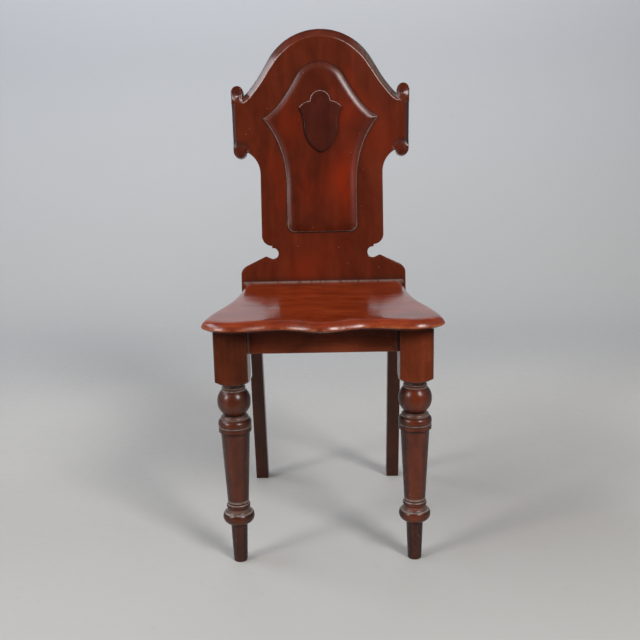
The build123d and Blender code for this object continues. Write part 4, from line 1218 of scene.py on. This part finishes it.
def make_rear_leg(name, side, node, seed):
    """A sawn leg, square in section, raked backwards below its knee."""
    foot_rear = REAR_FOOT_Y + REAR_FOOT_DEPTH
    relief_start = RELIEF_HEIGHT - 5
    levels = [0, 1.2, *np.linspace(6, relief_start, 24), *np.linspace(relief_start, RELIEF_HEIGHT, 5)]
    levels += [*np.linspace(RELIEF_HEIGHT + 4, KNEE, 14), KNEE + 1]
    levels += [RAIL_BOTTOM, SEAT_UNDER - 6, SEAT_UNDER - 0.2]
    rings, where = [], []
    for z in np.unique(levels):
        low = min(z / KNEE, 1)
        front = REAR_FOOT_Y + (LEG_HEAD_Y - REAR_FOOT_Y) * low
        rear = foot_rear + (back_y(KNEE) - foot_rear) * low if z < KNEE else back_y(z)
        out = REAR_LEG_OUT - REAR_LEG_RELIEF * fade(z - relief_start, 5)
        ease, shrink = (1.6, 0.0) if z > 0.5 else (1.2, 0.6)
        inner, outer = (REAR_LEG_IN + shrink, front + shrink), (out - shrink, rear - shrink - 0.05)
        ring = bar_section(inner, outer, ease)
        rings.append(np.column_stack([side * ring[:, 0], ring[:, 1], np.full(len(ring), z)]))
        middle = np.array([(REAR_LEG_IN + out) / 2, (front + rear) / 2])
        half = np.array([(out - REAR_LEG_IN) / 2, (rear - front) / 2])
        where.append(np.abs(ring - middle) / half)
    corners, faces = loft(rings)
    corner = fade(np.vstack(where).min(1) - 0.80, 0.15)
    z = corners[:, 2]
    uneven = patchy(corners, 30, seed)
    marks = dict(
        wear=corner * 0.3 * uneven + fade(12 - z, 12) * 0.2 * uneven,
        # Painted shade towards the top of the leg, under the seat.
        grime_and_shade=fade(z - RAIL_BOTTOM + 20, 40) * 0.5 + (z < 0.5) * 0.6,
    )
    piece(name, place(corners), faces, rear_leg_finish, node, marks)


def rail_section(middle, half):
    return bar_section((middle - half, RAIL_BOTTOM), (middle + half, SEAT_UNDER - 0.1), 1.4, 8)


def rail_marks(z, uneven):
    """Wear along the lower edge of a rail, and painted shadow under the seat."""
    wear = near(z - RAIL_BOTTOM, 1.8) * (0.05 + 0.3 * uneven)
    return wear, fade(z - RAIL_BOTTOM - 14, 30) ** 1.5


def make_front_rail():
    half = LEG_X - BLOCK_HALF
    near_ends = [half - gap for gap in (0, 0.8, 2, 4)]
    places = [*near_ends, *(-x for x in near_ends), *np.linspace(-half + 8, half - 8, 60)]
    ring = rail_section(FRONT_RAIL_Y, RAIL_THICK / 2)
    corners, faces = loft([np.column_stack([np.full(len(ring), x), ring]) for x in np.unique(places)])
    x, _, z = corners.T
    uneven = patchy(corners, 25, 31)
    wear, seat_shadow = rail_marks(z, uneven)
    wax_and_highlight = near(x + half - 0.6, 1.4) * (0.2 + 0.4 * uneven)
    wax_and_highlight += near(x - half + 5, 2.0) * np.clip(uneven * 2.2 - 1.2, 0, 1) * 0.5
    marks = dict(
        wear=wear,
        grime_and_shade=0.75 * seat_shadow + near(x - half, 3.5) * 0.9 + near(x + half - 5, 3.0) * 0.4,
        wax_and_highlight=wax_and_highlight,
    )
    piece(
        "front_rail_polished", place(corners), faces,
        cross_rail_finish, "front_rail", marks)


def make_side_rail(name, side, node, seed):
    lean = math.atan2(LEG_X - LEG_HEAD_X, LEG_HEAD_Y - BLOCK_HALF)
    half = RAIL_THICK / 2 / math.cos(lean)
    places = [BLOCK_HALF, BLOCK_HALF + 2, *np.linspace(BLOCK_HALF + 6, LEG_HEAD_Y - 6, 36)]
    places += [LEG_HEAD_Y - 2, LEG_HEAD_Y]
    rings = []
    for y in np.unique(places):
        ring = rail_section(LEG_X - (y - BLOCK_HALF) * math.tan(lean), half)
        rings.append(np.column_stack([side * ring[:, 0], np.full(len(ring), y), ring[:, 1]]))
    corners, faces = loft(rings)
    _, y, z = corners.T
    uneven = patchy(corners, 25, seed)
    wear, seat_shadow = rail_marks(z, uneven)
    marks = dict(
        wear=wear,
        grime_and_shade=0.7 * seat_shadow + near(y - BLOCK_HALF, 3) * 0.6 + near(y - LEG_HEAD_Y, 3) * 0.6,
        wax_and_highlight=near(y - BLOCK_HALF, 1.2) * 0.35 * uneven,
    )
    piece(name, place(corners), faces, side_rail_finish, node, marks)


make_back()
make_panel()
make_shield()
make_seat_board("seat_front_board_polished", True, front_seat_finish, "seat_front_board", 11)
make_seat_board("seat_rear_board_polished", False, rear_seat_finish, "seat_rear_board", 17)
leg_tree = turned_leg_tree()
make_front_leg(leg_tree, "front_leg_left_turned", -1, left_leg_finish, "front_leg_left", 21)
make_front_leg(leg_tree, "front_leg_right_turned", 1, right_leg_finish, "front_leg_right", 22)
make_rear_leg("rear_leg_left_sawn", -1, "rear_leg_left", 23)
make_rear_leg("rear_leg_right_sawn", 1, "rear_leg_right", 24)
make_front_rail()
make_side_rail("side_rail_left_polished", -1, "side_rail_left", 25)
make_side_rail("side_rail_right_polished", 1, "side_rail_right", 26)

for node, finish in {
    "rear_rail": cross_rail_finish,
    "corner_block_front_left": block_finish,
    "corner_block_front_right": block_finish,
    "corner_block_rear_left": block_finish,
    "corner_block_rear_right": block_finish,
    "seat_glue_blocks": block_finish,
    "seat_dowels": dowel_finish,
    "rail_dowels": dowel_finish,
    "seat_screws": screw_finish,
    "back_screws": screw_finish,
}.items():
    for slot in nodes[node].material_slots:
        slot.material = finish


# Studio

def make_studio():
    """A pale floor that runs up into a pale wall, soft lamps in front, at the left and over the wall, and a
    soft grey room."""
    front, bend, radius, top, half = -0.9, 1.6, 1.2, 4.0, 1.9
    wall = bend + radius
    section = join(
        run((front, 0), (bend, 0), 0.3),
        arc((bend, radius), radius, 270, 90, 0.08),
        run((wall, radius), (wall, top), 0.3),
    )
    corners = [(x, y, z) for y, z in section for x in (-half, half)]
    faces = [(2 * i, 2 * i + 1, 2 * i + 3, 2 * i + 2) for i in range(len(section) - 1)]
    mesh = bpy.data.meshes.new("studio_floor")
    mesh.from_pydata(corners, [], faces)
    mesh.shade_smooth()
    f = Finish("studio_paper")
    cloudy = f.noise(f.stretch((0.9, 0.9, 0.9)), 2, 0.5)
    specks = f.noise(f.stretch((0.02, 0.02, 0.02)), 3, 0.6)
    x, y, z = f.add("ShaderNodeSeparateXYZ", {0: f.coordinates}).outputs
    shade = f.ramp(cloudy, [(0.35, (183, 180, 176)), (0.65, (192, 189, 185))])
    # Painted light and shade on the paper: brighter towards the right and towards the front, darker towards
    # the back; the wall is a cooler grey.
    shade = f.mix(f.between(x, 0.1, 1.1, 0.0, 0.7), shade, (206, 203, 198))
    shade = f.mix(f.between(y, 0.5, 1.5, 0.0, 0.85), shade, (174, 174, 174))
    shade = f.mix(f.between(z, 0.1, 1.4), shade, (179, 181, 185))
    shade = f.mix(f.between(y, 0.25, -0.45), shade, (194, 191, 186))
    shade = f.mix(f.between(specks, 0.62, 0.75, 0.0, 0.12), shade, (150, 148, 145))
    f.set(base_color=shade, roughness=f.between(specks, 0.3, 0.7, 0.5, 0.65), specular_ior_level=0.3)
    mesh.materials.append(f.material)
    floor = bpy.data.objects.new("studio_floor", mesh)
    bpy.context.scene.collection.objects.link(floor)

    def lamp(name, at, aim, size, power, tint=(1.0, 1.0, 1.0)):
        light = bpy.data.lights.new(name, "AREA")
        light.shape = "RECTANGLE"
        light.size, light.size_y = size
        light.energy = power
        light.color = tint
        holder = bpy.data.objects.new(name, light)
        holder.location = at
        holder.rotation_euler = (Vector(aim) - Vector(at)).to_track_quat("-Z", "Y").to_euler()
        bpy.context.scene.collection.objects.link(holder)

    lamp("lamp_right", (2.53, -3.44, 3.40), (0, 0, 0.5), (1.3, 1.8), 165)
    lamp("lamp_left", (-3.80, -2.75, 2.75), (0, 0, 0.5), (1.3, 1.8), 105)
    lamp("lamp_side", (-3.30, 0.05, 3.40), (0, 0, 0.7), (3.2, 1.4), 74, (0.84, 0.91, 1.0))
    lamp("lamp_wall", (0, 1.0, 3.2), (0, 2.8, 2.6), (3.2, 0.8), 48)

    # The room is brighter on the left and right than overhead, and dark behind the camera.
    world = bpy.data.worlds.new("studio_room")
    bpy.context.scene.world = world
    world.use_nodes = True
    room = Nodes(world.node_tree)
    where = room.add("ShaderNodeTexCoord").outputs["Generated"]
    across = room.add("ShaderNodeSeparateXYZ", {0: where}).outputs["X"]
    left = room.between(across, -0.35, -0.80, 0.0, 0.25)
    right = room.between(across, 0.40, 0.85, 0.0, 0.12)
    to_camera = {0: where, 1: (0.0, -0.985, 0.17)}
    ahead = room.add("ShaderNodeVectorMath", to_camera, operation="DOT_PRODUCT").outputs["Value"]
    level = room.times(room.plus(0.16, left, right), room.between(ahead, 0.72, 0.92, 1.0, 0.25))
    background = world.node_tree.nodes["Background"]
    room.put(background.inputs["Color"], colour(250, 251, 255))
    room.put(background.inputs["Strength"], level)


def make_camera():
    """Looks at the chair as the photograph does."""
    sensor, focal_length, photo_width = 36.0, 809.1, 640      # the last two in pixels of the photograph
    camera = bpy.data.cameras.new("camera")
    camera.sensor_fit, camera.sensor_width = "HORIZONTAL", sensor
    camera.lens = sensor * focal_length / photo_width
    camera.clip_start, camera.clip_end = 0.05, 50
    yaw, pitch, roll = math.radians(0.697), math.radians(11.782), math.radians(-1.187)
    look = Matrix.Rotation(yaw, 4, "Z") @ Matrix.Rotation(math.pi / 2 - pitch, 4, "X")
    look = look @ Matrix.Rotation(roll, 4, "Z")
    holder = bpy.data.objects.new("camera", camera)
    holder.matrix_world = Matrix.Translation(place([(11.18, -1313.69, 703.31)])[0]) @ look
    bpy.context.scene.collection.objects.link(holder)
    bpy.context.scene.camera = holder


make_studio()
make_camera()
bpy.context.scene.view_settings.view_transform = "Standard"
